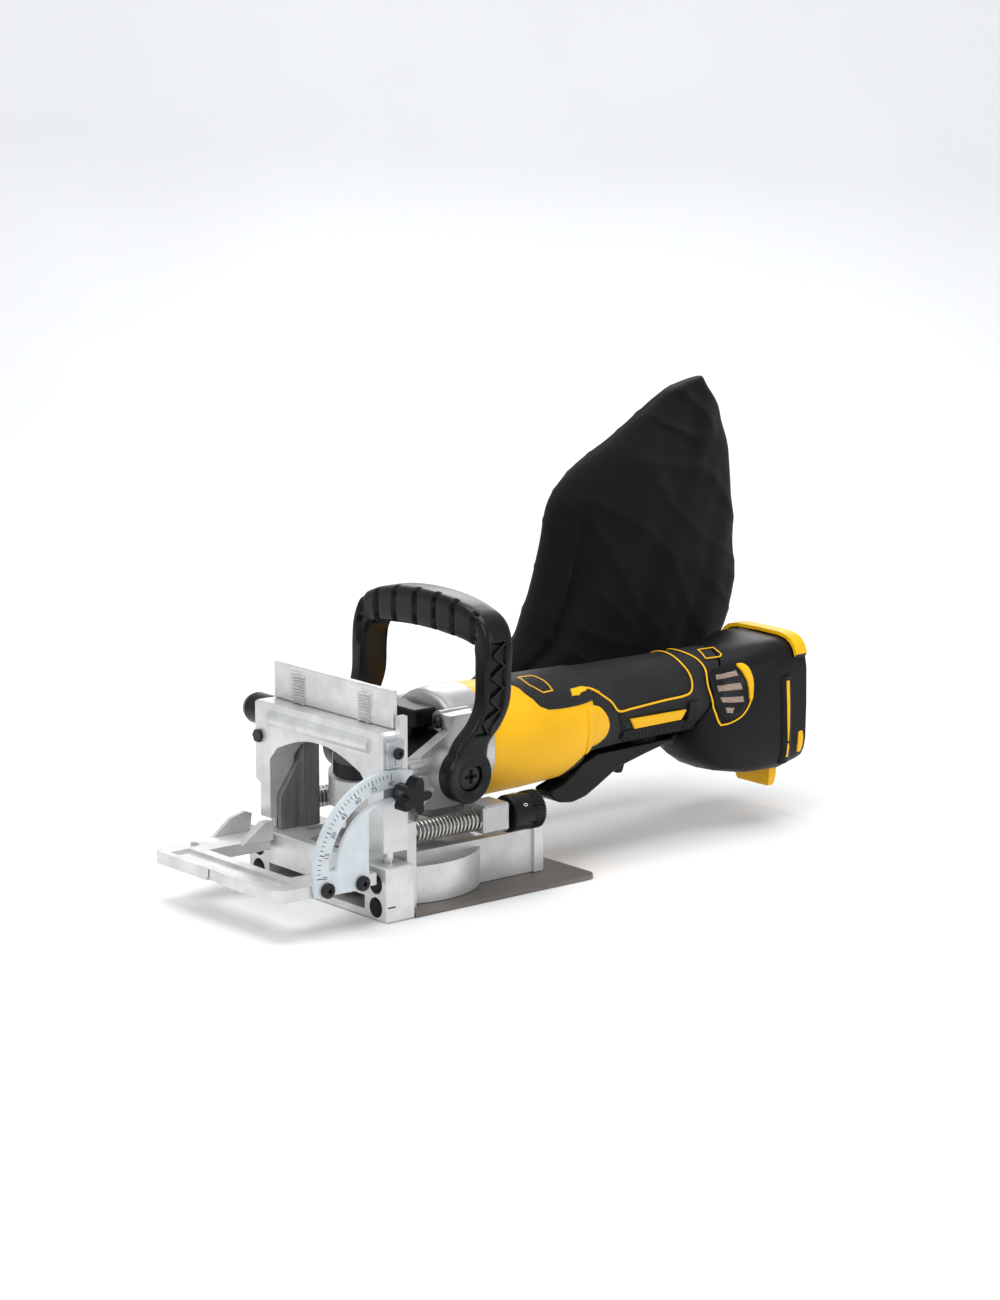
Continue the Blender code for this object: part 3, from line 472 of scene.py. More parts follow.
def mirrored(points):
    """The same (y, angle) points on the other side of the body."""
    return [(y, 180 - turn) for y, turn in points]


def strip_along(name, points, radius, sides, squash, finish):
    """A flattened tube through (y, angle, lift) points on the body's surface."""
    places = [BODY_SKIN.at(y, turn, lift) for y, turn, lift in points]
    bm = bmesh.new()
    tube(bm, [place for place, _ in places], radius * MM, sides, squash, [out for _, out in places])
    new_piece(name, bm, finish, "motor_unit", 60)


def stripe(name, points, side, radius=0.75, finish="yellow", lift=0.05):
    """A raised line that follows the body's surface through (y, angle) points."""
    if side == "right":
        points = mirrored(points)
    flat = smooth_path([Vector((y, turn * PIPING_MM_PER_DEGREE, 0)) for y, turn in points], 1.2)
    strip_along(name, [(at.x, at.y / PIPING_MM_PER_DEGREE, lift) for at in flat], radius, 10, 0.55, finish)


def rounded_outline(points, rounds):
    """Cuts every corner of a closed outline, round after round."""
    for _ in range(rounds):
        cut = []
        for a, b in zip(points, points[1:] + points[:1]):
            cut += [a.lerp(b, 0.22), a.lerp(b, 0.78)]
        points = cut
    return points


PATCH_ROOT = -0.6  # how far a panel's underside is sunk, in millimetres


def patch(name, outline, side, lift, finish, rounds, cell, edge):
    """A thin raised panel over the body's surface, with a rounded rim, inside a (y, angle) outline."""
    if side == "right":
        outline = mirrored(outline)
    rim = rounded_outline([Vector((y, turn * MM_PER_DEGREE)) for y, turn in outline], rounds)
    dense = []
    for a, b in zip(rim, rim[1:] + rim[:1]):
        count = max(1, int((b - a).length / cell))
        dense += [a.lerp(b, i / count) for i in range(count)]
    area = sum(a.x * b.y - b.x * a.y for a, b in zip(dense, dense[1:] + dense[:1])) / 2
    inward = []
    for before, at, after in zip(dense[-1:] + dense[:-1], dense, dense[1:] + dense[:1]):
        along = (after - before).normalized()
        normal = Vector((-along.y, along.x)) * (1 if area > 0 else -1)
        inward.append(at + normal * edge)
    count = len(dense)
    points = dense + inward
    low = (min(p.x for p in dense), min(p.y for p in dense))
    high = (max(p.x for p in dense), max(p.y for p in dense))
    x = low[0] + cell
    while x < high[0]:
        y = low[1] + cell
        while y < high[1]:
            at = Vector((x, y))
            if inside(at, inward) and min((at - p).length for p in inward) > cell * 0.6:
                points.append(at)
            y += cell
        x += cell
    edges = [(i, (i + 1) % count) for i in range(count)]
    edges += [(count + i, count + (i + 1) % count) for i in range(count)]
    spots, _, faces, origins, _, _ = delaunay_2d_cdt(points, edges, [list(range(count))], 1, 1e-5)
    bm = bmesh.new()
    tops, bottoms = [], []
    for spot, came in zip(spots, origins):
        height = 0.0 if any(i < count for i in came) else lift
        place, _ = BODY_SKIN.at(spot.x, spot.y / MM_PER_DEGREE, height)
        under, _ = BODY_SKIN.at(spot.x, spot.y / MM_PER_DEGREE, PATCH_ROOT)
        tops.append(bm.verts.new(place))
        bottoms.append(bm.verts.new(under))
    used = {}  # a dict, so that the rim's walls are made in the same order every time
    for face in faces:
        bm.faces.new([tops[i] for i in face])
        bm.faces.new([bottoms[i] for i in reversed(face)])
        for a, b in zip(face, face[1:] + face[:1]):
            used[(a, b)] = True
    for a, b in used:
        if (b, a) not in used:
            bm.faces.new((tops[b], tops[a], bottoms[a], bottoms[b]))
    loose = [v for v in bm.verts if not v.link_faces]
    bmesh.ops.delete(bm, geom=loose, context="VERTS")
    return new_piece(name, bm, finish, "motor_unit", 50)


def inside(at, polygon):
    """Whether a flat point is inside a closed outline, by crossings."""
    hit = False
    for a, b in zip(polygon, polygon[1:] + polygon[:1]):
        if (a.y > at.y) != (b.y > at.y) and at.x < (b.x - a.x) * (at.y - a.y) / (b.y - a.y) + a.x:
            hit = not hit
    return hit


# ---------------------------------------------------------------- camera, light and floor

LIGHTS = (  # name, place, side of the square, power in watts
    ("key", (0.5, -1.6, 1.5), 0.8, 12), ("fill", (1.9, 0.5, 0.9), 1.0, 6),
    ("top", (-0.2, 0.1, 1.9), 1.2, 20), ("rim", (-1.3, 1.3, 1.1), 0.8, 8))
LIT_POINT = Vector((0.0, 0.1, 0.1))
CAMERA_PLACE = (1.7430, -1.3363, 0.5972)
CAMERA_BACK = Vector((0.75666, -0.62375, 0.19595))
LENS_MM = 95.3723
FLOOR_TURN = radians(50.5)


def area_light(name, place, size, power):
    data = bpy.data.lights.new(name, "AREA")
    data.shape = "SQUARE"
    data.size = size
    data.energy = power
    light = bpy.data.objects.new(name, data)
    bpy.context.scene.collection.objects.link(light)
    light.location = place
    light.rotation_mode = "QUATERNION"
    light.rotation_quaternion = (LIT_POINT - Vector(place)).to_track_quat("-Z", "Y")


def make_stage():
    """A pale floor that curves up into a backdrop behind the tool."""
    bm = bmesh.new()
    reach, bend_at, bend, steps = 4.0, 1.6, 0.8, 12
    profile = [(-reach, 0.0), (bend_at, 0.0)]
    for i in range(1, steps + 1):
        angle = radians(90 * i / steps)
        profile.append((bend_at + bend * sin(angle), bend - bend * cos(angle)))
    profile.append((bend_at + bend, reach))
    turn = Matrix.Rotation(FLOOR_TURN, 3, "Z")
    under = 0.2 * MM
    rows = []
    for along, up in profile:
        rows.append([bm.verts.new(turn @ Vector((side * reach, along, up - under))) for side in (-1, 1)])
    for a, b in zip(rows, rows[1:]):
        bm.faces.new((a[0], a[1], b[1], b[0]))
    mesh = bpy.data.meshes.new("floor")
    bm.to_mesh(mesh)
    bm.free()
    floor = bpy.data.objects.new("floor", mesh)
    bpy.context.scene.collection.objects.link(floor)
    g = Graph("pale_floor")
    g.colour(g.noise(3, 2.0), [(0.3, (0.86, 0.86, 0.86)), (0.7, (0.9, 0.9, 0.9))])
    g.level("Roughness", 0.75)
    mesh.materials.append(g.material)
    for face in mesh.polygons:
        face.use_smooth = True


def make_camera():
    data = bpy.data.cameras.new("camera")
    camera = bpy.data.objects.new("camera", data)
    bpy.context.scene.collection.objects.link(camera)
    camera.location = CAMERA_PLACE
    camera.rotation_mode = "QUATERNION"
    camera.rotation_quaternion = CAMERA_BACK.normalized().to_track_quat("Z", "Y")
    data.sensor_fit = "VERTICAL"
    data.sensor_height = 36.0
    data.sensor_width = 36.0
    data.lens = LENS_MM
    data.clip_start, data.clip_end = 0.05, 30.0
    bpy.context.scene.camera = camera


def make_lights():
    world = bpy.data.worlds.new("studio")
    bpy.context.scene.world = world
    world.use_nodes = True
    sky = world.node_tree.nodes["Background"]
    sky.inputs["Color"].default_value = (0.93, 0.96, 1.0, 1.0)
    sky.inputs["Strength"].default_value = 0.7
    bpy.context.scene.view_settings.view_transform = "Standard"
    for light in LIGHTS:
        area_light(*light)


make_camera()
make_lights()
make_stage()


# ---------------------------------------------------------------- motor housing, grip and foot

def body_trim():
    """Overmoulds, yellow panels, piping and vents, from (y in mm, angle in degrees) outlines."""
    cap = [(88.5, 90), (90.5, 78), (100, 63), (103.5, 43), (111.5, 21), (130, 19), (147, 20), (161.5, 24.5)]
    patch("top_overmould", cap + mirrored(cap[:0:-1]), "left", 0.8, "overmould",
          rounds=1, cell=3.0, edge=1.1)
    under = [(126, -90), (131, -74), (143, -52), (150, -44), (154, -41)]
    patch("lower_overmould", under + [(y, -180 - turn) for y, turn in reversed(under[1:])], "left", 0.3,
          "overmould", rounds=1, cell=3.0, edge=1.1)
    for side in ("left", "right"):
        panel = [(150, 15), (158, 17.5), (164.5, 13), (170, 2), (173.5, -14), (173, -28), (167, -40),
                 (158, -42), (150, -40)]
        patch("side_panel_" + side, panel, side, 0.75, "yellow",
              rounds=1, cell=2.6, edge=0.9)
        step = [(107, 48), (113.4, 34), (124, 32.5), (137.5, 31)]
        stripe("cap_seam_" + side, step, side, 0.5, finish="ink")
        tab = [(139, 31), (140.5, 41), (151, 43), (157, 40), (154, 35.5), (148, 33.5), (146.5, 31)]
        patch("piping_tab_" + side, tab, side, 1.5, "yellow",
              rounds=0, cell=2.0, edge=0.4)
        lead = [(153, 40.3), (157, 39.4), (160.7, 37), (165.5, 31)]
        stripe("piping_lead_" + side, lead, side, lift=0.95)
        flash = [(191, -10), (243, -11), (240, -25), (197, -26)]
        patch("grip_flash_" + side, flash, side, 0.9, "yellow",
              rounds=0, cell=2.4, edge=0.5)
        vent = [(268, 38), (278, 40), (289, 34), (293.4, 21), (294.5, 5), (293, -14), (288, -23), (273, -27),
                (268.5, 0), (266.5, 20)]
        patch("vent_panel_" + side, vent, side, 0.6, "black",
              rounds=1, cell=2.0, edge=0.6)
        slots = ([(272.3, 28.5), (289.4, 28.5), (290, 21), (272.1, 21)],
                 [(271.5, 14), (290, 13), (291, 5), (272.2, 5)],
                 [(273.5, -2), (291, -2), (291, -9), (275, -9)],
                 [(276.5, -14), (283, -14), (281.6, -20), (277.5, -20)])
        for i, corners in enumerate(slots):
            patch(f"vent_screen_{i}_{side}", corners, side, 0.95, "mesh",
                  rounds=0, cell=1.6, edge=0.3)
        crescent = [(291.5, 37), (296.6, 35), (299.5, 27), (300.5, 12), (298.5, -8), (296, -9),
                    (296.3, 8), (294, 24)]
        patch("vent_crescent_" + side, crescent, side, 1.0, "yellow",
              rounds=1, cell=1.6, edge=0.4)
        rim = [(264.6, 58), (266.2, 40), (264, 16), (268, -8), (271.8, -30), (276, -30.5), (284, -27),
               (291, -21), (296.6, -10), (298, 0)]
        stripe("vent_piping_" + side, [(258.5, 90), (260.7, 74)] + rim, side)
        foot_oval = [(345, -41.5), (348.5, -42), (348.5, -53), (344.5, -54.5), (343, -52), (343, -42.5)]
        patch("foot_oval_" + side, foot_oval, side, 1.0, "yellow",
              rounds=2, cell=1.4, edge=0.5)
    near = [(149, 40), (154, 40.5), (160.7, 37), (168, 28), (175, 17), (180.9, 3.5), (194, 4), (223, 7),
            (240, 8), (247.5, 12), (250.2, 24), (250.4, 38), (248.8, 55), (248, 75)]
    stripe("grip_piping", near + [(247.8, 90)] + mirrored(near[::-1]), "left")


def ribbed_panels():
    """Fine wavy ribs moulded into the lower grip on both sides."""
    columns, rows, pitch, root = 230, 26, 2.9, -0.25
    for side in ("left", "right"):
        bm = bmesh.new()
        grid = []
        for i in range(columns + 1):
            line = []
            for j in range(rows + 1):
                down = j / rows
                front, back = 181.5 + 10 * down, 256 + 2 * down
                y = front + (back - front) * i / columns
                below_flash = 188 < y < 246
                turn = -28 - 22 * down if below_flash else -2 - 48 * down
                margin = min(i, columns - i, 6) / 6 * min(j, rows - j, 2) / 2
                wave = 0.5 + 0.5 * cos(2 * pi * (y + 2.2 * sin(turn * 0.16)) / pitch)
                lift = root + margin * (0.3 + 1.15 * wave)
                angle = turn if side == "left" else 180 - turn
                line.append(bm.verts.new(BODY_SKIN.at(y, angle, lift)[0]))
            grid.append(line)
        for a, b in zip(grid, grid[1:]):
            for j in range(rows):
                bm.faces.new((a[j], a[j + 1], b[j + 1], b[j]))
        new_piece("grip_ribs_" + side, bm, "overmould", "motor_unit", 70)


def foot_details():
    """Raised cheek rib with a yellow strip let into it, on each side of the foot."""
    steps = 24
    bands = (("foot_cheek_", 12, 70, 329.5, 1.8, -0.4, 4.8, 14, 0.5, "black_satin", "overmould"),
             ("foot_strip_", 7, 60, 330, 1.6, 1.5, 1.7, 10, 0.6, "yellow", "yellow_plastic"))
    for side in ("left", "right"):
        for name, top, sweep, y, drift, lift, radius, sides, squash, finish, slot in bands:
            points = [(y + drift * i / steps, top - sweep * i / steps) for i in range(steps + 1)]
            if side == "right":
                points = mirrored(points)
            lifted = [(*point, lift) for point in points]
            strip_along(name + side, lifted, radius, sides, squash, finish)


def badges():
    """Plain outlined plates where the tool carries its labels; nothing is written on them."""
    front = [(110, 77), (121.5, 77), (125.5, 62), (126, 43), (117.3, 42), (111, 56)]
    rear = [(274, 76), (288, 75), (287.5, 57), (285.7, 54), (272.2, 55)]
    for name, outline, lift in (("badge_front", front, 0.85), ("badge_rear", rear, 0.1)):
        points = []
        for a, b in zip(outline, outline[1:] + outline[:1]):
            for i in range(8):
                y, turn = (p + (q - p) * i / 8 for p, q in zip(a, b))
                points.append((y, turn, lift))
        strip_along(name, points + points[:1], 0.6, 8, 0.5, "yellow")


body_trim()
ribbed_panels()
foot_details()
badges()


# ---------------------------------------------------------------- scale, ticks and numbers

PIVOT = (-48.0, 37.5)
SCALE_FACE_X = 72.5
BOX_FACES = ((3, 2, 1, 0), (4, 5, 6, 7), (0, 1, 5, 4), (1, 2, 6, 5), (2, 3, 7, 6), (3, 0, 4, 7))


def on_scale(radius, angle, x):
    """A place on the angle scale, at a radius and an angle about the fence's pivot."""
    return Vector((x, PIVOT[0] - radius * cos(radians(angle)), PIVOT[1] + radius * sin(radians(angle)))) * MM


def write(text, name, centre, right, up, size, finish, body):
    """A generic number, laid flat and centred on a point."""
    data = bpy.data.curves.new(name, "FONT")
    data.body = text
    data.size = size
    data.align_x = "CENTER"
    data.align_y = "CENTER"
    data.extrude = 0.05 * MM
    drawn = bpy.data.objects.new(name + "_text", data)
    bpy.context.scene.collection.objects.link(drawn)
    bpy.context.view_layer.update()
    mesh = bpy.data.meshes.new_from_object(drawn.evaluated_get(bpy.context.evaluated_depsgraph_get()))
    bpy.data.objects.remove(drawn)
    out = right.cross(up)
    turn = Matrix((right, up, out)).transposed().to_4x4()
    mesh.transform(Matrix.Translation(centre) @ turn)
    bm = bmesh.new()
    bm.from_mesh(mesh)
    bpy.data.meshes.remove(mesh)
    new_piece(name, bm, finish, body)


def scale_marks():
    """A tick every 3 degrees, longer every 15, and a number at each long one."""
    bm = bmesh.new()
    outer = 58.6
    for angle in range(0, 91, 3):
        inner, half = (54.6, 0.3) if angle % 15 == 0 else (56.0, 0.22)
        along = (on_scale(1, angle, 0) - on_scale(0, angle, 0)).normalized()
        across = Vector((0, -along.z, along.y))
        corners = []
        for x in (SCALE_FACE_X - 0.05, SCALE_FACE_X + 0.06):
            for radius, turn in ((inner, -1), (outer, -1), (outer, 1), (inner, 1)):
                corners.append(bm.verts.new(on_scale(radius, angle, x) + across * turn * half * MM))
        for face in BOX_FACES:
            bm.faces.new([corners[k] for k in face])
    new_piece("scale_ticks", bm, "ink", "fence")
    for angle in range(0, 91, 15):
        up = (on_scale(1, angle, 0) - on_scale(0, angle, 0)).normalized()
        right = Vector((0, up.z, -up.y))
        write(str(angle), "scale_number_" + str(angle), on_scale(52.3, angle, SCALE_FACE_X + 0.02), right, up,
              4.7 * MM, "ink", "fence")


def index_marks():
    """Small painted index lines on the base, fence and cursor."""
    for name, low, high, body in (
            ("base_side_mark", (74.9, -53.0, 9.6), (75.06, -47.0, 10.7), "base"),
            ("fence_front_mark", (-5.7, -134.56, 27.9), (-4.4, -134.4, 33.2), "fence"),
            ("cursor_line", (69.2, -43.2, 99.4), (69.28, -42.6, 106.4), "carriage")):
        bm = bmesh.new()
        box_mesh(bm, Vector(low) * MM, Vector(high) * MM)
        new_piece(name, bm, "red_ink", body)


scale_marks()
index_marks()


# ---------------------------------------------------------------- screws, turret and face plate

def cross_recess(name, centre, facing, size, body):
    """A dark cross let into a screw head that faces along X or Y; its darkness is painted shade standing for
    the hollow of the recess.
    """
    axis = "XYZ".index(facing)
    across = [i for i in range(3) if i != axis]
    bm = bmesh.new()
    for narrow in across:
        half = [size, size, size]
        half[axis] = 0.1
        half[narrow] = size * 0.26
        low = [c - h for c, h in zip(centre, half)]
        high = [c + h for c, h in zip(centre, half)]
        box_mesh(bm, Vector(low) * MM, Vector(high) * MM)
    new_piece(name, bm, "recess", body)


def screw_recesses():
    """Crosses in the heads of the CAD screws that show, dark with painted shade."""
    for name, facing, size in (("scale_screw_front", "X", 2.0), ("scale_screw_rear", "X", 2.0),
                               ("cursor_screw", "X", 1.5), ("nose_screw_left", "Y", 1.7),
                               ("nose_screw_right", "Y", 1.7)):
        low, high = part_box(name)
        x, y, z = (low + high) / 2 / MM
        centre = (high.x / MM, y, z) if facing == "X" else (x, low.y / MM, z)
        cross_recess(name + "_recess", centre, facing, size, NODES[name]["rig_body"])


def depth_turret_marks():
    """White setting numbers round the turret and a knurled rear rim."""
    low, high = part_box("depth_turret")
    middle, radius = (low + high) / 2, (high.z - low.z) / 2
    along = Vector((0, 1, 0))
    numbers_y, raised = low.y + 9 * MM, 0.16 * MM
    for i, word in enumerate(("0", "10", "20")):
        turn = radians(33 + 60 * i)
        out = Vector((cos(turn), 0, sin(turn)))
        place = Vector((middle.x, numbers_y, middle.z)) + out * (radius + raised)
        write(word, "turret_number_" + word, place, out.cross(along), -along, 4.8 * MM, "white_ink",
              "depth_turret")
    bm = bmesh.new()
    knurls_y, sunk = high.y - 5.2 * MM, 0.2 * MM
    deep, length, wide = 1.1 * MM, 8.5 * MM, 0.8 * MM
    for c, s in circle(40):
        out, across = Vector((c, 0, s)), Vector((-s, 0, c))
        foot = Vector((middle.x, knurls_y, middle.z)) + out * (radius - sunk)
        for corner in bmesh.ops.create_cube(bm, size=1.0)["verts"]:
            x, y, z = corner.co
            corner.co = foot + out * x * deep + along * y * length + across * z * wide
    new_piece("turret_knurl", bm, "black", "depth_turret")


def chevron_ribs():
    """Two columns of saw-tooth ribs on the front of the upper plate."""
    bm = bmesh.new()
    lowest, pitch, count = 122.6, 1.95, 10
    half_width, peak = 6.0, 0.8
    root_y, tip_y = -39.8, -41.4
    for centre in (-35.0, 35.0):
        for i in range(count):
            rows = []
            for x, rise in ((-half_width, 0.0), (0.0, peak), (half_width, 0.0)):
                z = lowest + pitch * i + rise
                tooth = ((root_y, z), (tip_y, z + 0.1), (tip_y, z + 0.4), (root_y, z + 1.4))
                rows.append([Vector((centre + x, y, up)) * MM for y, up in tooth])
            loft(bm, rows)
    new_piece("plate_ribs", bm, "casting", "carriage", 20)


screw_recesses()
depth_turret_marks()
chevron_ribs()


# ---------------------------------------------------------------- front handle

# Points up the left arm to the middle of the bar: x, y, z, half thickness, half width.
HANDLE_PATH = [(62.5, 20, 90, 6.2, 15), (63, 24, 104, 6.2, 12.4), (64.5, 34, 116, 6.4, 11.5),
               (65.5, 40, 130, 6.6, 11.5), (65.5, 41, 150, 7, 11.5), (64.5, 42, 163, 8.2, 11.5),
               (58.5, 43, 173.5, 10.4, 11.5), (46, 43, 178.3, 11.6, 11.5), (30, 43, 180.8, 12.6, 11.5),
               (15, 43, 182, 12.9, 11.5), (0, 43, 182.4, 13, 11.5)]
GROOVES_X = (-62.5, -45.8, -26.7, -4.9, 15.5, 34.8, 55.6)
EYE_Y, EYE_Z = 20.0, 83.5


def ease(value, low, high):
    """Rises smoothly from 0 at low to 1 at high."""
    t = max(0.0, min(1.0, (value - low) / (high - low)))
    return t * t * (3 - 2 * t)


def handle_inset(x, y_off, z, towards_front, towards_out):
    """How deep the grooves of the front face and the recess of the outer arm faces are at a place."""
    depth = 0.0
    if z > 150 and towards_front > 0:
        for groove in GROOVES_X:
            near = 1 - ease(abs(x - groove), 1.7, 2.9)
            depth = max(depth, 2.8 * near * ease(towards_front, 0.2, 0.5))
    if towards_out > 0.3 and 108 < z < 171:
        ends = ease(z, 108.5, 110.5) * (1 - ease(z, 168, 170.5))
        depth = max(depth, 2.4 * ends * (1 - ease(abs(y_off + 1.5), 5.2, 6.4)))
    return depth


def squared(value, power):
    """A sine or cosine pushed outwards, so that a round section turns into a rounded box."""
    return abs(value) ** power * (1 if value > 0 else -1)


def front_handle():
    """The bail handle: one smooth bar with round eyes, and a web and a screw in each."""
    rows = HANDLE_PATH + [(-x, y, z, a, b) for x, y, z, a, b in reversed(HANDLE_PATH[:-1])]
    count, sides, boxiness, bail_middle_z = 520, 88, 0.42, 110
    samples = [blended(rows, i / count) for i in range(count + 1)]
    bm = bmesh.new()
    rings = []
    for i, (x, y, z, half, half_y) in enumerate(samples):
        before, after = samples[max(i - 1, 0)], samples[min(i + 1, count)]
        along = Vector((after[0] - before[0], 0, after[2] - before[2])).normalized()
        out = Vector((-along.z, 0, along.x))
        if out.dot(Vector((x, 0, z - bail_middle_z))) < 0:
            out = -out
        ring = []
        for c, s in circle(sides):
            y_off = half_y * squared(s, boxiness)
            place = Vector((x, y, z)) + out * half * squared(c, boxiness) + Vector((0, y_off, 0))
            inset = handle_inset(place.x, y_off, place.z, -s, c)
            ring.append((place - (out * c + Vector((0, s, 0))).normalized() * inset) * MM)
        rings.append(ring)
    loft(bm, rings)
    eye = [(16.6, 56.2), (18, 57.6), (18, 67.2), (16.6, 68.8), (11.0, 68.8), (9.8, 67.8), (9.6, 64.0)]
    for side in (-1, 1):
        turned_about_x(bm, EYE_Y, EYE_Z, [(radius, side * x) for radius, x in eye], 72)
    handle = new_piece("smooth_handle", bm, "black", "motor_unit", 42)
    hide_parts("front_handle")
    dome = [(8.6, 64.0), (8.6, 66.2), (7.6, 67.4), (4.8, 68.2), (0.6, 68.5)]
    cross_from, cross_to, cross_long, cross_narrow = 67.4, 68.75, 4.6, 1.15
    for side, word in ((-1, "right"), (1, "left")):
        truss_bars(side, word)
        bm = bmesh.new()
        turned_about_x(bm, EYE_Y, EYE_Z, [(radius, side * x) for radius, x in dome], 48)
        new_piece("handle_screw_head_" + word, bm, "screw", "motor_unit", 40)
        inner, outer = sorted((side * cross_from, side * cross_to))
        # Dark crosses on the screw domes: painted shade for their recesses.
        for half_y, half_z in ((cross_long, cross_narrow), (cross_narrow, cross_long)):
            bm = bmesh.new()
            box_mesh(bm, Vector((inner, EYE_Y - half_y, EYE_Z - half_z)) * MM,
                     Vector((outer, EYE_Y + half_y, EYE_Z + half_z)) * MM)
            new_piece(f"handle_screw_recess_{word}_{half_y > half_z}", bm, "recess", "motor_unit")


def truss_bars(side, word):
    """The zigzag web that stands in the recess of an arm's outer face."""
    arm = [row for row in (blended(HANDLE_PATH, i / 200) for i in range(201)) if row[0] >= 50]
    lowest, pitch, count, swing, sunk = 110.5, 7.2, 8, 5.2, 1.3
    bm = bmesh.new()
    for i in range(count):
        lean = -swing if i % 2 else swing
        ends = []
        for level, offset in ((i, lean), (i + 1, -lean)):
            z = lowest + pitch * level
            x, y, _, half, _ = min(arm, key=lambda row: abs(row[2] - z))
            ends.append(Vector((side * (x + half - sunk), y - 1.5 + offset, z)))
        along = (ends[1] - ends[0]).normalized()
        across = Vector((side, 0, 0)).cross(along).normalized()
        out = along.cross(across).normalized() * side
        length = (ends[1] - ends[0]).length * 1.04
        for corner in bmesh.ops.create_cube(bm, size=1.0)["verts"]:
            a, b, c = corner.co
            corner.co = ((ends[0] + ends[1]) / 2 + along * a * length + across * b * 1.4 + out * c * 2.6) * MM
    new_piece("handle_truss_" + word, bm, "black", "motor_unit")


front_handle()


def trim_seat():
    """Dark seat under the foot's top trim, filling the joint line below it."""
    bm = bmesh.new()
    bm.from_mesh(NODES["foot_top_trim"].data)
    for vert in bm.verts:
        vert.co = Vector((vert.co.x * 0.985, vert.co.y + 0.4 * MM, vert.co.z - 1.1 * MM))
    new_piece("trim_seat", bm, "black_satin", "motor_unit", 31)


def terminal_plug():
    """The yellow terminal block under the foot, tapered towards its lower end."""
    bm = bmesh.new()
    rings = []
    for z, narrow in ((60, 0.0), (29, 0.0), (21.8, 1.2), (19.4, 2.6)):
        x, front, rear = 18 - narrow, 334.5 + narrow * 0.4, 341.5 - narrow * 0.4
        corners = ((-x, front), (x, front), (x, rear), (-x, rear))
        rings.append([Vector((*corner, z)) * MM for corner in corners])
    loft(bm, rings)
    plug = new_piece("terminal_plug", bm, "yellow", "motor_unit", 30)
    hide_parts("battery_terminal_block")


def case_lug():
    """The lower screw lug on the near shoulder of the gear case."""
    x, z = 40, 88
    bm = bmesh.new()
    turned_about_y(bm, x, z, [(4.8, -11.5), (5.7, -10.7), (6.3, 8)], 48)
    new_piece("case_lug", bm, "case_casting", "motor_unit", 40)
    bm = bmesh.new()
    turned_about_y(bm, x, z, [(3.3, -11.4), (3.3, -12.4), (2.4, -13.2), (0.4, -13.4)], 48)
    new_piece("case_lug_screw", bm, "screw", "motor_unit", 40)
    # Its cross is painted shade for the screw's recess.
    cross_recess("case_lug_recess", (x, -13.3, z), "Y", 1.7, "motor_unit")


case_lug()
trim_seat()
terminal_plug()


# ---------------------------------------------------------------- smooth copies

# Nodes with a piece of their own, and the handle screws, which stay as they are under new heads.
HANDMADE = {"front_handle", "dust_bag", "plunge_spring_left", "plunge_spring_right", "handle_screw_left",
            "handle_screw_right", "battery_terminal_block"}
for finish, names in FINISHES.items():
    for name in names:
        if name not in HANDMADE:
            softened(name, finish)


# ---------------------------------------------------------------- springs

WIRE, COIL_RADIUS, COIL_TURNS = 0.8 * MM, 6.55 * MM, 17


def springs():
    """Two coils on the plunge rods, each a fixed coil that rides on the base."""
    steps = COIL_TURNS * 22
    for sign, side in ((1, "left"), (-1, "right")):
        node = "plunge_spring_" + side
        low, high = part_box(node)
        x, z = sign * 58.0 * MM, 51.0 * MM
        first, last = low.y + WIRE, high.y - WIRE
        path = []
        for i in range(steps + 1):
            t = i / steps
            eased = t + 0.012 * sin(2 * pi * t)
            turn = 2 * pi * COIL_TURNS * t
            path.append(Vector((x + COIL_RADIUS * cos(turn), first + (last - first) * eased,
                                z + COIL_RADIUS * sin(turn))))
        bm = bmesh.new()
        tube(bm, path, WIRE, 9)
        coil = new_piece("spring_" + side, bm, "spring_steel", "base", 80)
        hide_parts(node)
        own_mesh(coil)


springs()


# ---------------------------------------------------------------- dust bag

# Rows from the neck to the top, in millimetres: y and z of the front edge, y and z of the rear edge,
# half thickness, and x of the middle.
BAG_SPANS = [
    (87.4, 57.3, 112.6, 37.5, 16, -72), (101, 78, 131, 52, 18, -73), (122, 95, 180, 58, 22, -75),
    (148, 110, 262, 66, 26, -78), (172, 124, 335, 88, 29, -78), (190, 150, 372, 124, 30, -78),
    (203, 192, 379, 162, 29, -78), (212, 224, 378, 206, 27, -78), (232, 246, 375, 249, 23, -78),
    (268, 266, 367, 281, 16, -78), (318, 295, 353, 304, 8, -78)]
BAG_ROUND = 120
BAG_ROWS = 150


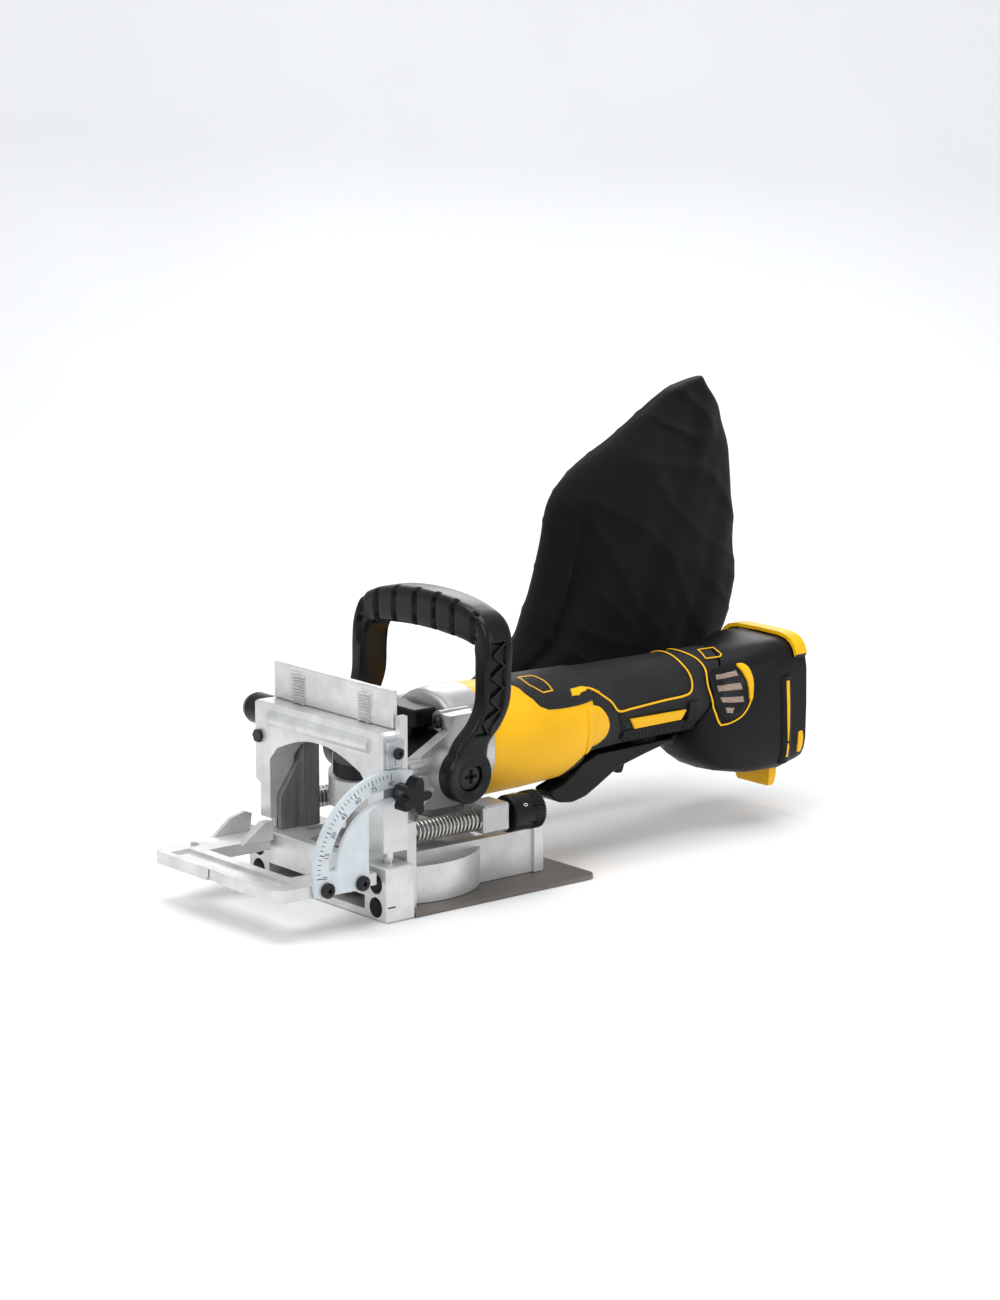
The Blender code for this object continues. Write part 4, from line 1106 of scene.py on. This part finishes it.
def dust_bag():
    """Cloth bag: a sagging lofted shell with hanging folds, creases from the neck and a stitched seam."""
    rings = []
    for row in range(BAG_ROWS + 1):
        share = row / BAG_ROWS
        y_1, z_1, y_2, z_2, thick, middle = blended(BAG_SPANS, share)
        one, two = Vector((0, y_1, z_1)), Vector((0, y_2, z_2))
        ring = []
        for across, out in circle(BAG_ROUND):
            place = ((one + two) / 2 + (one - two) / 2 * squared(across, 0.93)
                     + Vector((middle + thick * squared(out, 0.86), 0, 0)))
            ring.append((place + fold(place, share, across, out, thick)) * MM)
        rings.append(ring)
    bm = bmesh.new()
    loft(bm, rings)
    bag = new_piece("cloth_bag", bm, "cloth", "base", 180)
    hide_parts("dust_bag")
    welt = bmesh.new()
    path = [ring[BAG_ROUND // 2] + Vector((0, 0.4, -0.2)) * MM for ring in rings[12:-2:2]]
    tube(welt, path, 0.9 * MM, 8)
    new_piece("bag_welt", welt, "cloth", "base", 80)


def bell(value, centre, width):
    return exp(-((value - centre) / width) ** 2)


def fold(place, share, across, out, thick):
    """How far the cloth moves from the smooth shape, in millimetres: folds, creases and wrinkles."""
    free = min(1.0, max(0.0, (share - 0.06) / 0.22)) * min(1.0, (1.0 - share) / 0.05 + 0.35)
    side = 1 if out > 0 else -1
    y, z = place.y * MM, place.z * MM
    lean = y * 24 - z * 9 + side * 2.3
    drape = noise.noise(Vector((lean, z * 3.2, side * 4.0)))
    second = noise.noise(Vector((lean * 2.1 + 7.0, z * 6.5, side * 9.0)))
    crease = 1.0 - abs(noise.noise(Vector((y * 20 + z * 27, y * 6 - z * 8, side * 2.0 + 8.0)))) * 2
    ridge = max(0.0, crease - 0.72) * 5
    small = noise.noise(Vector((y * 85, z * 52, side * 5.0)))
    depth = 5.4 * drape + 2.4 * second + 1.5 * ridge + 0.55 * small - 1.6
    depth = max(-0.55 * thick, min(0.3 * thick, depth))
    if side > 0:
        hanging = max(0.0, 1 - abs(share - 0.5) / 0.27)
        depth += hanging * (3.0 * bell(across, 0.6, 0.08) - 9.0 * bell(across, 0.74, 0.055))
    edge = 3.4 * noise.noise(Vector((share * 15, across * 1.5, 2.0))) - 1.6
    if across < 0:
        edge += 5.5 * bell(share, 0.42, 0.018)
    flat = abs(out) ** 0.7
    return Vector((side * depth * flat * free, edge * across * free, edge * 0.5 * free * (1 - flat)))


dust_bag()
